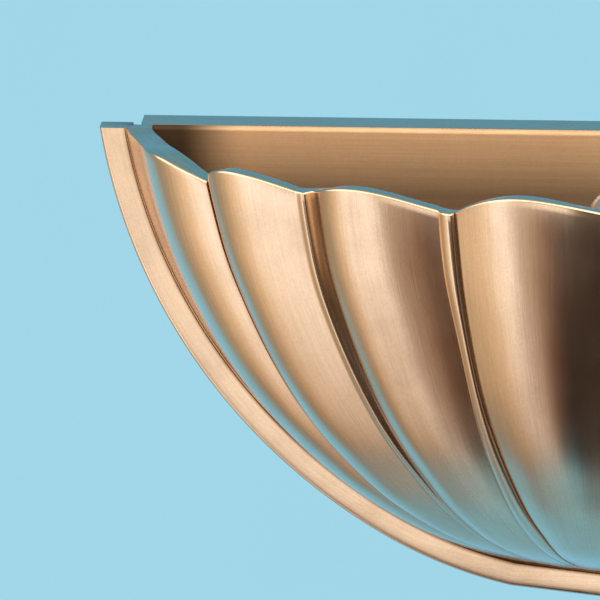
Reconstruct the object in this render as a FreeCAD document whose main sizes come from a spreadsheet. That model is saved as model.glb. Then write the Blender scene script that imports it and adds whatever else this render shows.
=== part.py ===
import FreeCAD, Part
import math
import os
from FreeCAD import Vector, Placement, Rotation

# Shell wall sconce, millimetres.
# The wall is the plane y = 0, the light stands out towards -Y, +Z is up.
# The origin is the centre of the two wall screws, on the wall.

doc = FreeCAD.newDocument("shell_wall_sconce")
sheet = doc.addObject("Spreadsheet::Sheet", "dims")

CELLS = [
    # shell and flange
    ("top_z", 50.0, "flange top above the wall screws"),
    ("arc_low_r", 130.72, "flange outline, lower arc"),
    ("arc_low_z", -10.22, "lower arc centre below the flange top"),
    ("arc_side_r", 173.72, "flange outline, side arcs"),
    ("arc_side_x", 22.02, "side arc centre, across the centre line"),
    ("arc_side_z", 26.71, "side arc centre above the flange top"),
    ("flange_width", 7.3, "flat front band of the flange"),
    ("flange_back_y", 9.5, "back edge of the flange from the wall"),
    ("flange_front_y", 17.0, "front face of the flange from the wall"),
    ("seat_y", 12.5, "rebate seat of the shell from the wall"),
    ("rebate_in", 9.2, "rebate side, in from the outline"),
    ("ring_in", 15.0, "back ring inner edge, in from the outline"),
    ("wall_side", 8.0, "shell wall beside the flange"),
    ("wall_main", 5.0, "shell wall between the flutes"),
    ("bowl_depth", 131.0, "pole of the flutes below the flange top"),
    ("bowl_floor", 126.0, "pole of the inner surface"),
    ("rib_high", 2.2, "bead between two flutes, standing proud"),
    # pan
    ("pan_depth", 12.2, "front face of the pan from the wall"),
    ("pan_in", 11.5, "pan outline, in from the flange outline"),
    ("sheet_t", 1.2, "pan sheet thickness"),
    ("pan_bend", 1.6, "outside bend of the pan's front edge"),
    # wall bracket
    ("strap_long", 118.0, "wall strap length"),
    ("strap_tall", 26.0, "wall strap height"),
    ("strap_t", 2.0, "wall strap thickness"),
    ("slot_gap", 60.0, "wall screw spacing"),
    ("slot_long", 12.0, "wall slot, end to end"),
    ("slot_wide", 4.6, "wall slot width"),
    ("cable_hole", 6.5, "strap cable hole radius"),
    ("cable_r", 4.0, "bore of the cable grommet, radius"),
    ("stud_x", 50.0, "pan stud from the centre"),
    ("stud_r", 2.0, "pan stud radius"),
    ("earth_x", 17.0, "earth screw from the centre"),
    # lampholder
    ("lamp_y", 45.0, "lamp axis from the wall"),
    ("lamp_top", -9.3, "lamp tip from the flange top"),
    ("lamp_r", 7.6, "lamp glass radius"),
    ("holder_r", 11.0, "lampholder radius"),
    ("holder_tall", 24.0, "lampholder height"),
    ("holder_top", -48.0, "lampholder top from the flange top"),
    ("arm_wide", 22.0, "lamp arm width"),
    ("arm_t", 1.5, "lamp arm thickness"),
    ("arm_leg", 34.0, "lamp arm upright leg"),
    # shell fixings
    ("lug_x", 107.0, "thumbscrew from the centre"),
    ("lug_z", -56.0, "thumbscrew from the flange top"),
    ("lug_r", 8.0, "lug radius"),
    ("thumb_r", 2.0, "thumbscrew shank radius"),
    ("thumb_head", 4.4, "thumbscrew head radius"),
    ("thumb_tall", 6.2, "thumbscrew head length"),
    # wiring
    ("core_r", 1.1, "insulated core radius"),
    ("block_z", -59.0, "terminal block centre from the wall screws"),
]
row = 1
for alias, value, note in CELLS:
    sheet.set("A%d" % row, alias)
    sheet.set("B%d" % row, str(value))
    sheet.setAlias("B%d" % row, alias)
    sheet.set("C%d" % row, note)
    row += 1

# Shell profile: half width of the bowl at a depth below the flange top, as a
# share of its half width at the rim.
PROFILE = [(8.0, 1.0135), (0.0, 1.0), (-12.0, 0.979), (-25.0, 0.951), (-40.0, 0.905), (-55.0, 0.846),
           (-70.0, 0.778), (-82.0, 0.713), (-93.0, 0.636), (-102.0, 0.558), (-110.0, 0.478),
           (-117.0, 0.392), (-122.5, 0.304), (-127.0, 0.204), (-129.6, 0.118)]
# Flute feet at the rim: angle from the wall plane, radius from the bowl axis.
# start and end of each flute, left half; the right half is the mirror image.
FLUTES = [
    # start angle, start radius, end angle, end radius, bulge, rim rise
    (0.0, 142.3, 19.6, 125.2, 6.9, 6.5),
    (21.0, 122.4, 35.3, 109.0, 6.9, 6.0),
    (37.0, 106.2, 57.5, 91.2, 4.4, 5.2),
    (60.2, 90.4, 88.3, 86.2, 5.3, 6.0),
]
RIM_LOW = [-0.5, -3.2, -3.0, -3.1, -2.6]
for i, (z, k) in enumerate(PROFILE):
    sheet.set("A%d" % row, "profile %d" % i)
    sheet.set("B%d" % row, str(z))
    sheet.setAlias("B%d" % row, "prof_z_%02d_mm" % i)
    sheet.set("D%d" % row, str(k))
    sheet.setAlias("D%d" % row, "prof_k_%02d_share" % i)
    row += 1
for i, f in enumerate(FLUTES):
    for col, key, val in zip("BDEFGH", ("from_deg", "from_rad", "to_deg", "to_rad", "bulge", "rise"), f):
        sheet.set("%s%d" % (col, row), str(val))
        sheet.setAlias("%s%d" % (col, row), "flute_%02d_%s" % (i + 1, key))
    row += 1
for i, v in enumerate(RIM_LOW):
    sheet.set("B%d" % row, str(v))
    sheet.setAlias("B%d" % row, "rim_low_%02d_mm" % i)
    row += 1
doc.recompute()


def dim(alias):
    return float(sheet.get(alias))


def put(obj, prop, value):
    """Bind a property to the sheet when the value is an expression."""
    if isinstance(value, str):
        obj.setExpression(prop, value)
    else:
        target = obj
        parts = prop.split(".")
        if parts[0] == "Placement":
            pl = obj.Placement
            b = Vector(pl.Base)
            setattr(b, parts[2], value)
            obj.Placement = Placement(b, pl.Rotation)
        else:
            setattr(target, prop, value)


AXES = {
    "z": Rotation(),
    "-z": Rotation(Vector(1, 0, 0), 180),
    "-y": Rotation(Vector(1, 0, 0), 90),
    "y": Rotation(Vector(1, 0, 0), -90),
    "x": Rotation(Vector(0, 1, 0), 90),
}


def place(obj, x, y, z, axis="z"):
    obj.Placement = Placement(Vector(0, 0, 0), AXES[axis])
    put(obj, "Placement.Base.x", x)
    put(obj, "Placement.Base.y", y)
    put(obj, "Placement.Base.z", z)
    return obj


def box(name, length, width, height, x, y, z):
    o = doc.addObject("Part::Box", name)
    put(o, "Length", length)
    put(o, "Width", width)
    put(o, "Height", height)
    return place(o, x, y, z)


def cyl(name, radius, height, x, y, z, axis="z"):
    o = doc.addObject("Part::Cylinder", name)
    put(o, "Radius", radius)
    put(o, "Height", height)
    return place(o, x, y, z, axis)


def cone(name, r1, r2, height, x, y, z, axis="z"):
    o = doc.addObject("Part::Cone", name)
    put(o, "Radius1", r1)
    put(o, "Radius2", r2)
    put(o, "Height", height)
    return place(o, x, y, z, axis)


def prism(name, sides, across, height, x, y, z, axis="z"):
    o = doc.addObject("Part::Prism", name)
    o.Polygon = sides
    put(o, "Circumradius", across)
    put(o, "Height", height)
    return place(o, x, y, z, axis)


def torus(name, r_big, r_small, x, y, z, axis="z"):
    o = doc.addObject("Part::Torus", name)
    put(o, "Radius1", r_big)
    put(o, "Radius2", r_small)
    return place(o, x, y, z, axis)


def cut(name, base, tool):
    o = doc.addObject("Part::Cut", name)
    o.Base = base
    o.Tool = tool
    return o


def fuse(name, items):
    o = doc.addObject("Part::MultiFuse", name)
    o.Shapes = items
    return o


def group(name, items):
    o = doc.addObject("Part::Compound", name)
    o.Links = items
    return o


def feature(name, shape):
    o = doc.addObject("Part::Feature", name)
    o.Shape = shape
    o.Placement = Placement()
    return o


# ---------------------------------------------------------------- sketches
def plane_of(body, role):
    for f in body.Origin.OriginFeatures:
        if f.Role == role:
            return f


def new_body(name):
    return doc.addObject("PartDesign::Body", name)


def new_sketch(body, name, role, offset=0.0):
    s = body.newObject("Sketcher::SketchObject", name)
    s.AttachmentSupport = [(plane_of(body, role), "")]
    s.MapMode = "FlatFace"
    if isinstance(offset, str):
        s.setExpression("AttachmentOffset.Base.z", offset)
    else:
        s.AttachmentOffset = Placement(Vector(0, 0, offset), Rotation())
    return s


def bind(sk, con, expr):
    idx = sk.addConstraint(con)
    if expr:
        sk.setExpression("Constraints[%d]" % idx, expr)
    return idx


def from_origin(sk, geo, pos, axis, value, expr=None):
    import Sketcher
    kind = "DistanceX" if axis == "x" else "DistanceY"
    if value < 0:
        return bind(sk, Sketcher.Constraint(kind, geo, pos, -1, 1, -value), expr)
    return bind(sk, Sketcher.Constraint(kind, -1, 1, geo, pos, value), expr)


def centred_rect(sk, w, h, w_expr=None, h_expr=None):
    import Sketcher
    x, y = w / 2.0, h / 2.0
    p = [Vector(-x, -y, 0), Vector(x, -y, 0), Vector(x, y, 0), Vector(-x, y, 0)]
    g = [sk.addGeometry(Part.LineSegment(p[k], p[(k + 1) % 4]), False) for k in range(4)]
    for k in range(4):
        sk.addConstraint(Sketcher.Constraint("Coincident", g[k], 2, g[(k + 1) % 4], 1))
    sk.addConstraint(Sketcher.Constraint("Horizontal", g[0]))
    sk.addConstraint(Sketcher.Constraint("Horizontal", g[2]))
    sk.addConstraint(Sketcher.Constraint("Vertical", g[1]))
    sk.addConstraint(Sketcher.Constraint("Vertical", g[3]))
    sk.addConstraint(Sketcher.Constraint("Symmetric", g[0], 1, g[2], 1, -1, 1))
    bind(sk, Sketcher.Constraint("DistanceX", g[0], 1, g[0], 2, w), w_expr)
    bind(sk, Sketcher.Constraint("DistanceY", g[1], 1, g[1], 2, h), h_expr)


def circle(sk, x, y, r, r_expr=None, x_expr=None, y_expr=None):
    import Sketcher
    g = sk.addGeometry(Part.Circle(Vector(x, y, 0), Vector(0, 0, 1), r), False)
    bind(sk, Sketcher.Constraint("Radius", g, r), r_expr)
    if x == 0 and y == 0:
        sk.addConstraint(Sketcher.Constraint("Coincident", g, 3, -1, 1))
        return g
    if x == 0:
        sk.addConstraint(Sketcher.Constraint("PointOnObject", g, 3, -2))
    else:
        from_origin(sk, g, 3, "x", x, x_expr)
    if y == 0:
        sk.addConstraint(Sketcher.Constraint("PointOnObject", g, 3, -1))
    else:
        from_origin(sk, g, 3, "y", y, y_expr)
    return g


def slot(sk, x, y, long, wide, x_expr=None, long_expr=None, wide_expr=None):
    import Sketcher
    r = wide / 2.0
    half = long / 2.0 - r
    a = sk.addGeometry(Part.ArcOfCircle(Part.Circle(Vector(x + half, y, 0), Vector(0, 0, 1), r), -math.pi / 2, math.pi / 2), False)
    b = sk.addGeometry(Part.ArcOfCircle(Part.Circle(Vector(x - half, y, 0), Vector(0, 0, 1), r), math.pi / 2, 3 * math.pi / 2), False)
    t = sk.addGeometry(Part.LineSegment(Vector(x + half, y + r, 0), Vector(x - half, y + r, 0)), False)
    u = sk.addGeometry(Part.LineSegment(Vector(x - half, y - r, 0), Vector(x + half, y - r, 0)), False)
    sk.addConstraint(Sketcher.Constraint("Tangent", a, 2, t, 1))
    sk.addConstraint(Sketcher.Constraint("Tangent", t, 2, b, 1))
    sk.addConstraint(Sketcher.Constraint("Tangent", b, 2, u, 1))
    sk.addConstraint(Sketcher.Constraint("Tangent", u, 2, a, 1))
    sk.addConstraint(Sketcher.Constraint("Horizontal", t))
    sk.addConstraint(Sketcher.Constraint("PointOnObject", a, 3, -1))
    bind(sk, Sketcher.Constraint("Radius", a, r), wide_expr)
    bind(sk, Sketcher.Constraint("DistanceX", b, 3, a, 3, 2 * half), long_expr)
    s = 1 if x > 0 else -1
    # outer centre of the slot from the strap's centre
    from_origin(sk, a if s > 0 else b, 3, "x", x + s * half, x_expr)


def pad(body, sk, name, length, reverse=False):
    p = body.newObject("PartDesign::Pad", name)
    p.Profile = sk
    put(p, "Length", length)
    p.Reversed = reverse
    sk.Visibility = False
    doc.recompute()
    return p


def pocket(body, sk, name, length=None, reverse=False):
    before = body.Shape.Volume
    p = body.newObject("PartDesign::Pocket", name)
    p.Profile = sk
    if length is None:
        p.Type = "ThroughAll"
        p.Midplane = True
    else:
        put(p, "Length", length)
        p.Reversed = reverse
    doc.recompute()
    if body.Shape.Volume > before - 1e-6:
        p.Reversed = not p.Reversed
        doc.recompute()
    if body.Shape.Volume > before - 1e-6:
        raise RuntimeError("pocket %s cuts nothing" % name)
    return p


# ------------------------------------------------------- half-moon outline
def outline_points(inset):
    """Arc data of the half-moon outline, moved in by inset, from the flange top's centre."""
    r1 = dim("arc_low_r") - inset
    r2 = dim("arc_side_r") - inset
    z1 = dim("arc_low_z")
    x2 = dim("arc_side_x")
    z2 = dim("arc_side_z")
    d = math.hypot(x2, z2 - z1)
    ux, uz = -x2 / d, (z1 - z2) / d
    j = (x2 + ux * r2, z2 + uz * r2)
    return r1, r2, z1, x2, z2, j


def outline_x(z, inset):
    """Half width of the outline at height z from the flange top."""
    r1, r2, z1, x2, z2, j = outline_points(inset)
    if z >= j[1]:
        return math.sqrt(r2 * r2 - (z - z2) ** 2) - x2
    return math.sqrt(max(r1 * r1 - (z - z1) ** 2, 0.0))


def outline_face(inset, top=0.0):
    """Half-moon face in the plane y = 0, its straight edge at height top."""
    r1, r2, z1, x2, z2, j = outline_points(inset)
    zt = dim("top_z")
    xt = outline_x(top, inset)
    a2 = math.atan2(top - z2, -xt - x2)
    aj = math.atan2(j[1] - z2, j[0] - x2)
    am = (a2 + aj) / 2.0 if a2 * aj > 0 else (a2 - 2 * math.pi + aj) / 2.0
    pm = Vector(x2 + r2 * math.cos(am), 0, z2 + r2 * math.sin(am) + zt)
    P0 = Vector(-xt, 0, top + zt)
    J = Vector(j[0], 0, j[1] + zt)
    B = Vector(0, 0, z1 - r1 + zt)
    mirror = lambda p: Vector(-p.x, p.y, p.z)
    edges = [Part.Arc(P0, pm, J).toShape(), Part.Arc(J, B, mirror(J)).toShape(),
             Part.Arc(mirror(J), mirror(pm), mirror(P0)).toShape(),
             Part.LineSegment(mirror(P0), P0).toShape()]
    return Part.Face(Part.Wire(edges))


def slab(inset, y_back, y_front, top=0.0):
    """Half-moon slab between two distances from the wall."""
    f = outline_face(inset, top)
    f.translate(Vector(0, -y_back, 0))
    return f.extrude(Vector(0, -(y_front - y_back), 0))


# ------------------------------------------------------------ shell casting
def flute_data():
    out = []
    for i in range(4):
        out.append([dim("flute_%02d_%s" % (i + 1, k)) for k in ("from_deg", "from_rad", "to_deg", "to_rad", "bulge", "rise")])
    return out


def polar(deg, rad):
    a = math.radians(deg)
    return (-rad * math.cos(a), -rad * math.sin(a))


def spline(points):
    c = Part.BSplineCurve()
    c.interpolate(points)
    return c.toShape()


def rim_scale(z, deg, k):
    """Share of the rim radius at depth z: the edge on the flange follows its outline."""
    flange = outline_x(z, dim("flange_width")) / outline_x(0.0, dim("flange_width"))
    w = max(0.0, 1.0 - deg / 17.0) ** 2
    return k + (flange - k) * w


def arc_points(a, b, bulge, n=9):
    L = math.hypot(b[0] - a[0], b[1] - a[1])
    nx, ny = (b[1] - a[1]) / L, -(b[0] - a[0]) / L
    if nx * (a[0] + b[0]) + ny * (a[1] + b[1]) < 0:
        nx, ny = -nx, -ny
    pts = []
    for q in range(n + 1):
        u = q / float(n)
        h = bulge * 4.0 * u * (1.0 - u)
        pts.append((a[0] + (b[0] - a[0]) * u + nx * h, a[1] + (b[1] - a[1]) * u + ny * h))
    return pts


def half_curves_outer():
    """Left half of the outside at the rim: flute, bead, flute, bead and so on to the centre bead."""
    data = flute_data()
    left = []
    for i, (d0, r0, d1, r1, bulge, rise) in enumerate(data):
        left.append(arc_points(polar(d0, r0), polar(d1, r1), bulge, 6))
        a = polar(d1, r1)
        b = polar(data[i + 1][0], data[i + 1][1]) if i < 3 else (-a[0], a[1])
        m = ((a[0] + b[0]) / 2.0, (a[1] + b[1]) / 2.0)
        ml = math.hypot(*m)
        ex, ey = m[0] / ml, m[1] / ml
        pts = []
        for q in range(5):
            u = q / 4.0
            h = dim("rib_high") * (0.0, 0.72, 1.0, 0.72, 0.0)[q]
            pts.append((a[0] + (b[0] - a[0]) * u + ex * h, a[1] + (b[1] - a[1]) * u + ey * h))
        left.append(pts)
    return left


def half_curves_inner():
    """Left half of the inside at the rim: shallower flutes behind those outside."""
    data = flute_data()
    t = dim("wall_main")
    knots = [polar(0.0, data[0][1] - dim("wall_side"))]
    for i in range(3):
        deg = (data[i][2] + data[i + 1][0]) / 2.0
        rad = min(data[i][3], data[i + 1][1]) - t + 0.6
        knots.append(polar(deg, rad))
    knots.append(polar(90.0, data[3][3] - t))
    return [arc_points(knots[i], knots[i + 1], data[i][4] - (2.0 if i == 0 else 0.6), 6) for i in range(4)]


def fluted_solid(left, centre_shared, z_ratio, lift):
    """Solid whose level sections are all the same fluted curve, scaled about the bowl's axis."""
    yb = -dim("flange_front_y")
    zt = dim("top_z")
    curves = left[:]
    mirrored = left[:-1] if centre_shared else left
    for pts in reversed(mirrored):
        curves.append([(-x, y) for x, y in reversed(pts)])
    prof = []
    for i in range(len(PROFILE)):
        z = dim("prof_z_%02d_mm" % i)
        k = dim("prof_k_%02d_share" % i)
        if z > 0:
            z, k = z + lift, k + 0.0017 * lift
        else:
            z = z * z_ratio
        prof.append(Vector(k * 100.0, 0, z))
    pc = Part.BSplineCurve()
    pc.interpolate(prof)
    p_poles, p_knots, p_mults = pc.getPoles(), pc.getKnots(), pc.getMultiplicities()
    faces = []
    for pts in curves:
        rc = Part.BSplineCurve()
        rc.interpolate([Vector(x, y, 0) for x, y in pts])
        rp = rc.getPoles()
        grid = []
        for a in rp:
            line = []
            deg = math.degrees(math.atan2(-a.y, abs(a.x)))
            for b in p_poles:
                z = b.z
                k = rim_scale(min(z, 0.0), deg, b.x / 100.0) if z < 0.5 else b.x / 100.0
                line.append(Vector(a.x * k, yb + a.y * k, zt + z))
            grid.append(line)
        sf = Part.BSplineSurface()
        sf.buildFromPolesMultsKnots(grid, rc.getMultiplicities(), p_mults, rc.getKnots(), p_knots, False, False, rc.Degree, pc.Degree)
        faces.append(sf.toShape())
    # flat faces: top, foot and back
    top_z, foot_z = zt + prof[0].z, zt + prof[-1].z
    tops, foots, sides = [], [], []
    for n, f in enumerate(faces):
        for e in f.Edges:
            zs = [v.Point.z for v in e.Vertexes]
            if all(abs(z - top_z) < 1e-6 for z in zs):
                tops.append(e)
            elif all(abs(z - foot_z) < 1e-6 for z in zs):
                foots.append(e)
            elif all(abs(v.Point.y - yb) < 1e-6 for v in e.Vertexes):
                sides.append(e)
    ends = lambda edges: sorted([v.Point for e in edges for v in e.Vertexes if abs(v.Point.y - yb) < 1e-6], key=lambda p: p.x)
    t_ends, f_ends = ends(tops), ends(foots)
    t_line = Part.LineSegment(t_ends[0], t_ends[-1]).toShape()
    f_line = Part.LineSegment(f_ends[0], f_ends[-1]).toShape()
    faces.append(Part.Face(Part.Wire(Part.__sortEdges__(tops + [t_line]))))
    faces.append(Part.Face(Part.Wire(Part.__sortEdges__(foots + [f_line]))))
    faces.append(Part.Face(Part.Wire(Part.__sortEdges__(sides + [t_line, f_line]))))
    hull = Part.makeShell(faces)
    hull.sewShape()
    solid = Part.makeSolid(Part.Shell(hull.Faces) if hull.ShapeType != "Shell" else hull)
    if solid.Volume < 0:
        solid.reverse()
    return solid


def rim_cutters():
    """What stands above the scalloped rim: one fan-shaped block over each flute."""
    zt = dim("top_z")
    yb = -dim("flange_front_y")
    data = flute_data()
    low = [dim("rim_low_%02d_mm" % i) for i in range(5)]
    knots = [-3.0]
    for i in range(3):
        knots.append((data[i][2] + data[i + 1][0]) / 2.0)
    knots.append(90.0)
    blocks = []
    for side in (1, -1):
        for i in range(4):
            ins, outs = [], []
            for q in range(9):
                u = q / 8.0
                deg = knots[i] + (knots[i + 1] - knots[i]) * u
                z = low[i] + (low[i + 1] - low[i]) * u + data[i][5] * 4.0 * u * (1.0 - u)
                for lst, rad in ((ins, 15.0), (outs, 185.0)):
                    x, y = polar(deg, rad)
                    lst.append(Vector(side * x, yb + y, zt + z))
            f = Part.makeRuledSurface(spline(ins), spline(outs))
            blocks.append(f.extrude(Vector(0, 0, 30.0)))
    hub = Part.makeCylinder(16.0, 60.0, Vector(0, yb, zt - 6.0))
    blocks.append(hub)
    return blocks


def make_shell():
    zt = dim("top_z")
    body = fluted_solid(half_curves_outer(), True, 1.0, 0.0)
    hollow = fluted_solid(half_curves_inner(), False, dim("bowl_floor") / dim("bowl_depth"), 4.0)
    bowl = body.cut(hollow)
    bowl = bowl.cut(rim_cutters())
    # flange band, back ring and rebate
    ring = slab(0.0, dim("seat_y"), dim("flange_front_y")).cut(slab(dim("ring_in"), dim("seat_y") - 1, dim("flange_front_y") + 1, 5.0))
    band = slab(0.0, dim("flange_back_y"), dim("seat_y")).cut(slab(dim("rebate_in"), dim("flange_back_y") - 1, dim("seat_y") + 1, 5.0))
    shape = ring.fuse([band, bowl])
    # two lugs with counterbored holes for the thumbscrews
    for s in (-1, 1):
        cx, cz = s * dim("lug_x"), zt + dim("lug_z")
        y0 = -dim("seat_y")
        r = dim("lug_r")
        lug = Part.makeCylinder(r, dim("flange_front_y") - dim("seat_y"), Vector(cx, y0, cz), Vector(0, -1, 0))
        arm = Part.makeBox(16.0, dim("flange_front_y") - dim("seat_y"), 2 * r)
        arm.translate(Vector(cx if s > 0 else cx - 16.0, -dim("flange_front_y"), cz - r))
        shape = shape.fuse([lug, arm])
    shape = shape.removeSplitter()
    # keep the flange front clean outside the outline
    for s in (-1, 1):
        cx, cz = s * dim("lug_x"), zt + dim("lug_z")
        y0 = -dim("seat_y")
        hole = Part.makeCylinder(dim("thumb_r") + 0.3, 12.0, Vector(cx, y0 + 3, cz), Vector(0, -1, 0))
        bore = Part.makeCylinder(4.6, 1.8, Vector(cx, y0 + 0.01, cz), Vector(0, -1, 0))
        shape = shape.cut([hole, bore])
    return shape


shell_shape = make_shell()
shell = feature("shell_casting", shell_shape)

# ------------------------------------------------------------------- pan
PAN_ZT = "dims.top_z"


def half_moon_sketch(body, name, inset_expr, inset, top_drop, offset=0.0):
    """Half-moon of two side arcs and one lower arc under a straight top, on the wall plane."""
    import Sketcher
    sk = new_sketch(body, name, "XZ_Plane", offset)
    r1, r2, z1, x2, z2, j = outline_points(inset)
    zt = dim("top_z")
    top = -top_drop
    xt = outline_x(top, inset)
    a_top = math.atan2(top - z2, -xt - x2)
    a_j = math.atan2(j[1] - z2, j[0] - x2)
    if a_top < 0:
        a_top += 2 * math.pi
    if a_j < 0:
        a_j += 2 * math.pi
    left = sk.addGeometry(Part.ArcOfCircle(Part.Circle(Vector(x2, z2 + zt, 0), Vector(0, 0, 1), r2), a_top, a_j), False)
    b0 = math.atan2(j[1] - z1, j[0])
    b1 = math.atan2(j[1] - z1, -j[0])
    low = sk.addGeometry(Part.ArcOfCircle(Part.Circle(Vector(0, z1 + zt, 0), Vector(0, 0, 1), r1), b0 + 2 * math.pi, b1 + 2 * math.pi), False)
    right = sk.addGeometry(Part.ArcOfCircle(Part.Circle(Vector(-x2, z2 + zt, 0), Vector(0, 0, 1), r2), math.pi - a_j + 2 * math.pi, math.pi - a_top + 2 * math.pi), False)
    line = sk.addGeometry(Part.LineSegment(Vector(xt, zt + top, 0), Vector(-xt, zt + top, 0)), False)
    C = Sketcher.Constraint
    sk.addConstraint(C("Tangent", left, 2, low, 1))
    sk.addConstraint(C("Tangent", low, 2, right, 1))
    sk.addConstraint(C("Coincident", right, 2, line, 1))
    sk.addConstraint(C("Coincident", line, 2, left, 1))
    sk.addConstraint(C("Symmetric", left, 1, right, 2, -2))
    sk.addConstraint(C("PointOnObject", low, 3, -2))
    bind(sk, C("Radius", low, r1), "dims.arc_low_r - %s" % inset_expr)
    bind(sk, C("Radius", left, r2), "dims.arc_side_r - %s" % inset_expr)
    bind(sk, C("DistanceY", -1, 1, low, 3, zt + z1), "dims.top_z + dims.arc_low_z")
    bind(sk, C("DistanceX", -1, 1, left, 3, x2), "dims.arc_side_x")
    bind(sk, C("DistanceY", -1, 1, line, 1, zt + top), "dims.top_z - %s" % top_drop)
    return sk


pan = new_body("back_pan")
sk = half_moon_sketch(pan, "pan_outline", "dims.pan_in", dim("pan_in"), 0.1)
pad(pan, sk, "pan_block", "dims.pan_depth")
# bend of the front edge
front_edges = []
for n, e in enumerate(pan.Shape.Edges):
    if all(abs(v.Point.y + dim("pan_depth")) < 1e-4 for v in e.Vertexes):
        front_edges.append("Edge%d" % (n + 1))
block = pan.Tip
fil = pan.newObject("PartDesign::Fillet", "pan_bends")
fil.Base = (block, front_edges)
put(fil, "Radius", "dims.pan_bend")
doc.recompute()
sk = half_moon_sketch(pan, "pan_inside", "(dims.pan_in + dims.sheet_t)", dim("pan_in") + dim("sheet_t"), 0.1 + dim("sheet_t"))
pocket(pan, sk, "pan_hollow", "dims.pan_depth - dims.sheet_t", reverse=True)
sk = new_sketch(pan, "pan_holes", "XZ_Plane")
for s in (-1, 1):
    circle(sk, s * dim("stud_x"), 0, dim("stud_r") + 0.25, "dims.stud_r + 0.25", "dims.stud_x")
    circle(sk, s * dim("lug_x"), dim("top_z") + dim("lug_z"), 3.2, None, "dims.lug_x", "abs(dims.top_z + dims.lug_z)")
    circle(sk, s * 6.5, -4.0, 1.6)
circle(sk, 0, -34.0, 5.0)
circle(sk, 4.5, dim("block_z"), 1.6, None, None, "abs(dims.block_z)")
pocket(pan, sk, "pan_piercings")

# ---------------------------------------------------------- wall bracket
strap = new_body("wall_bracket")
sk = new_sketch(strap, "strap_outline", "XZ_Plane")
centred_rect(sk, dim("strap_long"), dim("strap_tall"), "dims.strap_long", "dims.strap_tall")
pad(strap, sk, "strap_plate", "dims.strap_t")
ends = []
for n, e in enumerate(strap.Shape.Edges):
    if e.Length < dim("strap_t") + 1e-3:
        ends.append("Edge%d" % (n + 1))
block = strap.Tip
fil = strap.newObject("PartDesign::Fillet", "strap_corners")
fil.Base = (block, ends)
fil.Radius = 5.0
doc.recompute()
sk = new_sketch(strap, "strap_holes", "XZ_Plane")
circle(sk, 0, 0, dim("cable_hole"), "dims.cable_hole")
for s in (-1, 1):
    circle(sk, s * dim("stud_x"), 0, dim("stud_r"), "dims.stud_r", "dims.stud_x")
circle(sk, dim("earth_x"), 0, 2.0, None, "dims.earth_x")
pocket(strap, sk, "strap_piercings")
for s in (-1, 1):
    sk = new_sketch(strap, "strap_slot_%s" % ("left" if s < 0 else "right"), "XZ_Plane")
    slot(sk, s * dim("slot_gap") / 2, 0, dim("slot_long"), dim("slot_wide"),
         "dims.slot_gap / 2 + (dims.slot_long - dims.slot_wide) / 2", "dims.slot_long - dims.slot_wide", "dims.slot_wide / 2")
    pocket(strap, sk, "strap_slot_cut_%s" % ("left" if s < 0 else "right"))

# two studs screwed into the strap, with washers and dome nuts in front of the pan
studs, washers, nuts = [], [], []
for s, tag in ((-1, "l"), (1, "r")):
    x = "%sdims.stud_x" % ("-" if s < 0 else "")
    studs.append(cyl("stud_" + tag, "dims.stud_r", 18.0, x, 0, 0, "-y"))
    w = cut("stud_washer_" + tag, cyl("sw_out_" + tag, 4.5, 0.8, x, "-dims.pan_depth", 0, "-y"),
            cyl("sw_in_" + tag, "dims.stud_r + 0.2", 3.0, x, "-dims.pan_depth + 1", 0, "-y"))
    washers.append(w)
    hexa = prism("nut_hex_" + tag, 6, 3.9, 3.4, x, "-dims.pan_depth - 0.8", 0, "-y")
    dome = doc.addObject("Part::Sphere", "nut_dome_" + tag)
    dome.Radius = 3.2
    place(dome, x, "-dims.pan_depth - 4.2", 0)
    neck = cyl("nut_neck_" + tag, 3.3, 1.4, x, "-dims.pan_depth - 3.4", 0, "-y")
    nuts.append(cut("dome_nut_" + tag, fuse("nut_solid_" + tag, [hexa, dome, neck]),
                    cyl("nut_bore_" + tag, "dims.stud_r", 5.4, x, "-dims.pan_depth - 0.8 + 0.2", 0, "-y")))
pan_studs = group("pan_studs", studs)
pan_washers = group("pan_washers", washers)
pan_nuts = group("pan_dome_nuts", nuts)

# rubber grommet in the strap's cable hole
gr_body = fuse("grommet_solid", [cyl("gr_back", 8.0, 0.9, 0, "-dims.strap_t", 0, "-y"),
                                 cyl("gr_core", "dims.cable_hole", "dims.strap_t", 0, 0, 0, "-y"),
                                 cone("gr_nose", 8.0, 6.4, 1.6, 0, "-dims.strap_t - 0.9", 0, "-y")])
cable_grommet = cut("cable_grommet", gr_body, cyl("gr_bore", "dims.cable_r", 9.0, 0, 2.0, 0, "-y"))

# earth screw, ring tag and its crimp
es_solid = fuse("es_solid", [cyl("es_shank", 2.0, 4.0, "dims.earth_x", 0, 0, "-y"),
                             cyl("es_head", 3.6, 2.2, "dims.earth_x", "-dims.strap_t - 0.8", 0, "-y")])
es_slot = box("es_slot", 8.0, 1.3, 0.9, "dims.earth_x - 4", "-dims.strap_t - 3.3", -0.45)
earth_screw = cut("earth_screw", es_solid, es_slot)
tag_solid = fuse("tag_solid", [cyl("tag_disc", 3.8, 0.8, "dims.earth_x", "-dims.strap_t", 0, "-y"),
                               box("tag_neck", 3.4, 0.8, 6.2, "dims.earth_x - 1.7", "-dims.strap_t - 0.8", -8.2),
                               cyl("tag_barrel", 1.7, 6.0, "dims.earth_x", "-dims.strap_t - 1.8", -14.0)])
tag_hole = fuse("tag_holes", [cyl("tag_eye", 2.1, 4.0, "dims.earth_x", "-dims.strap_t + 1", 0, "-y"),
                              cyl("tag_socket", "dims.core_r", 5.0, "dims.earth_x", "-dims.strap_t - 1.8", -14.5)])
earth_tag = cut("earth_tag", tag_solid, tag_hole)

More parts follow.
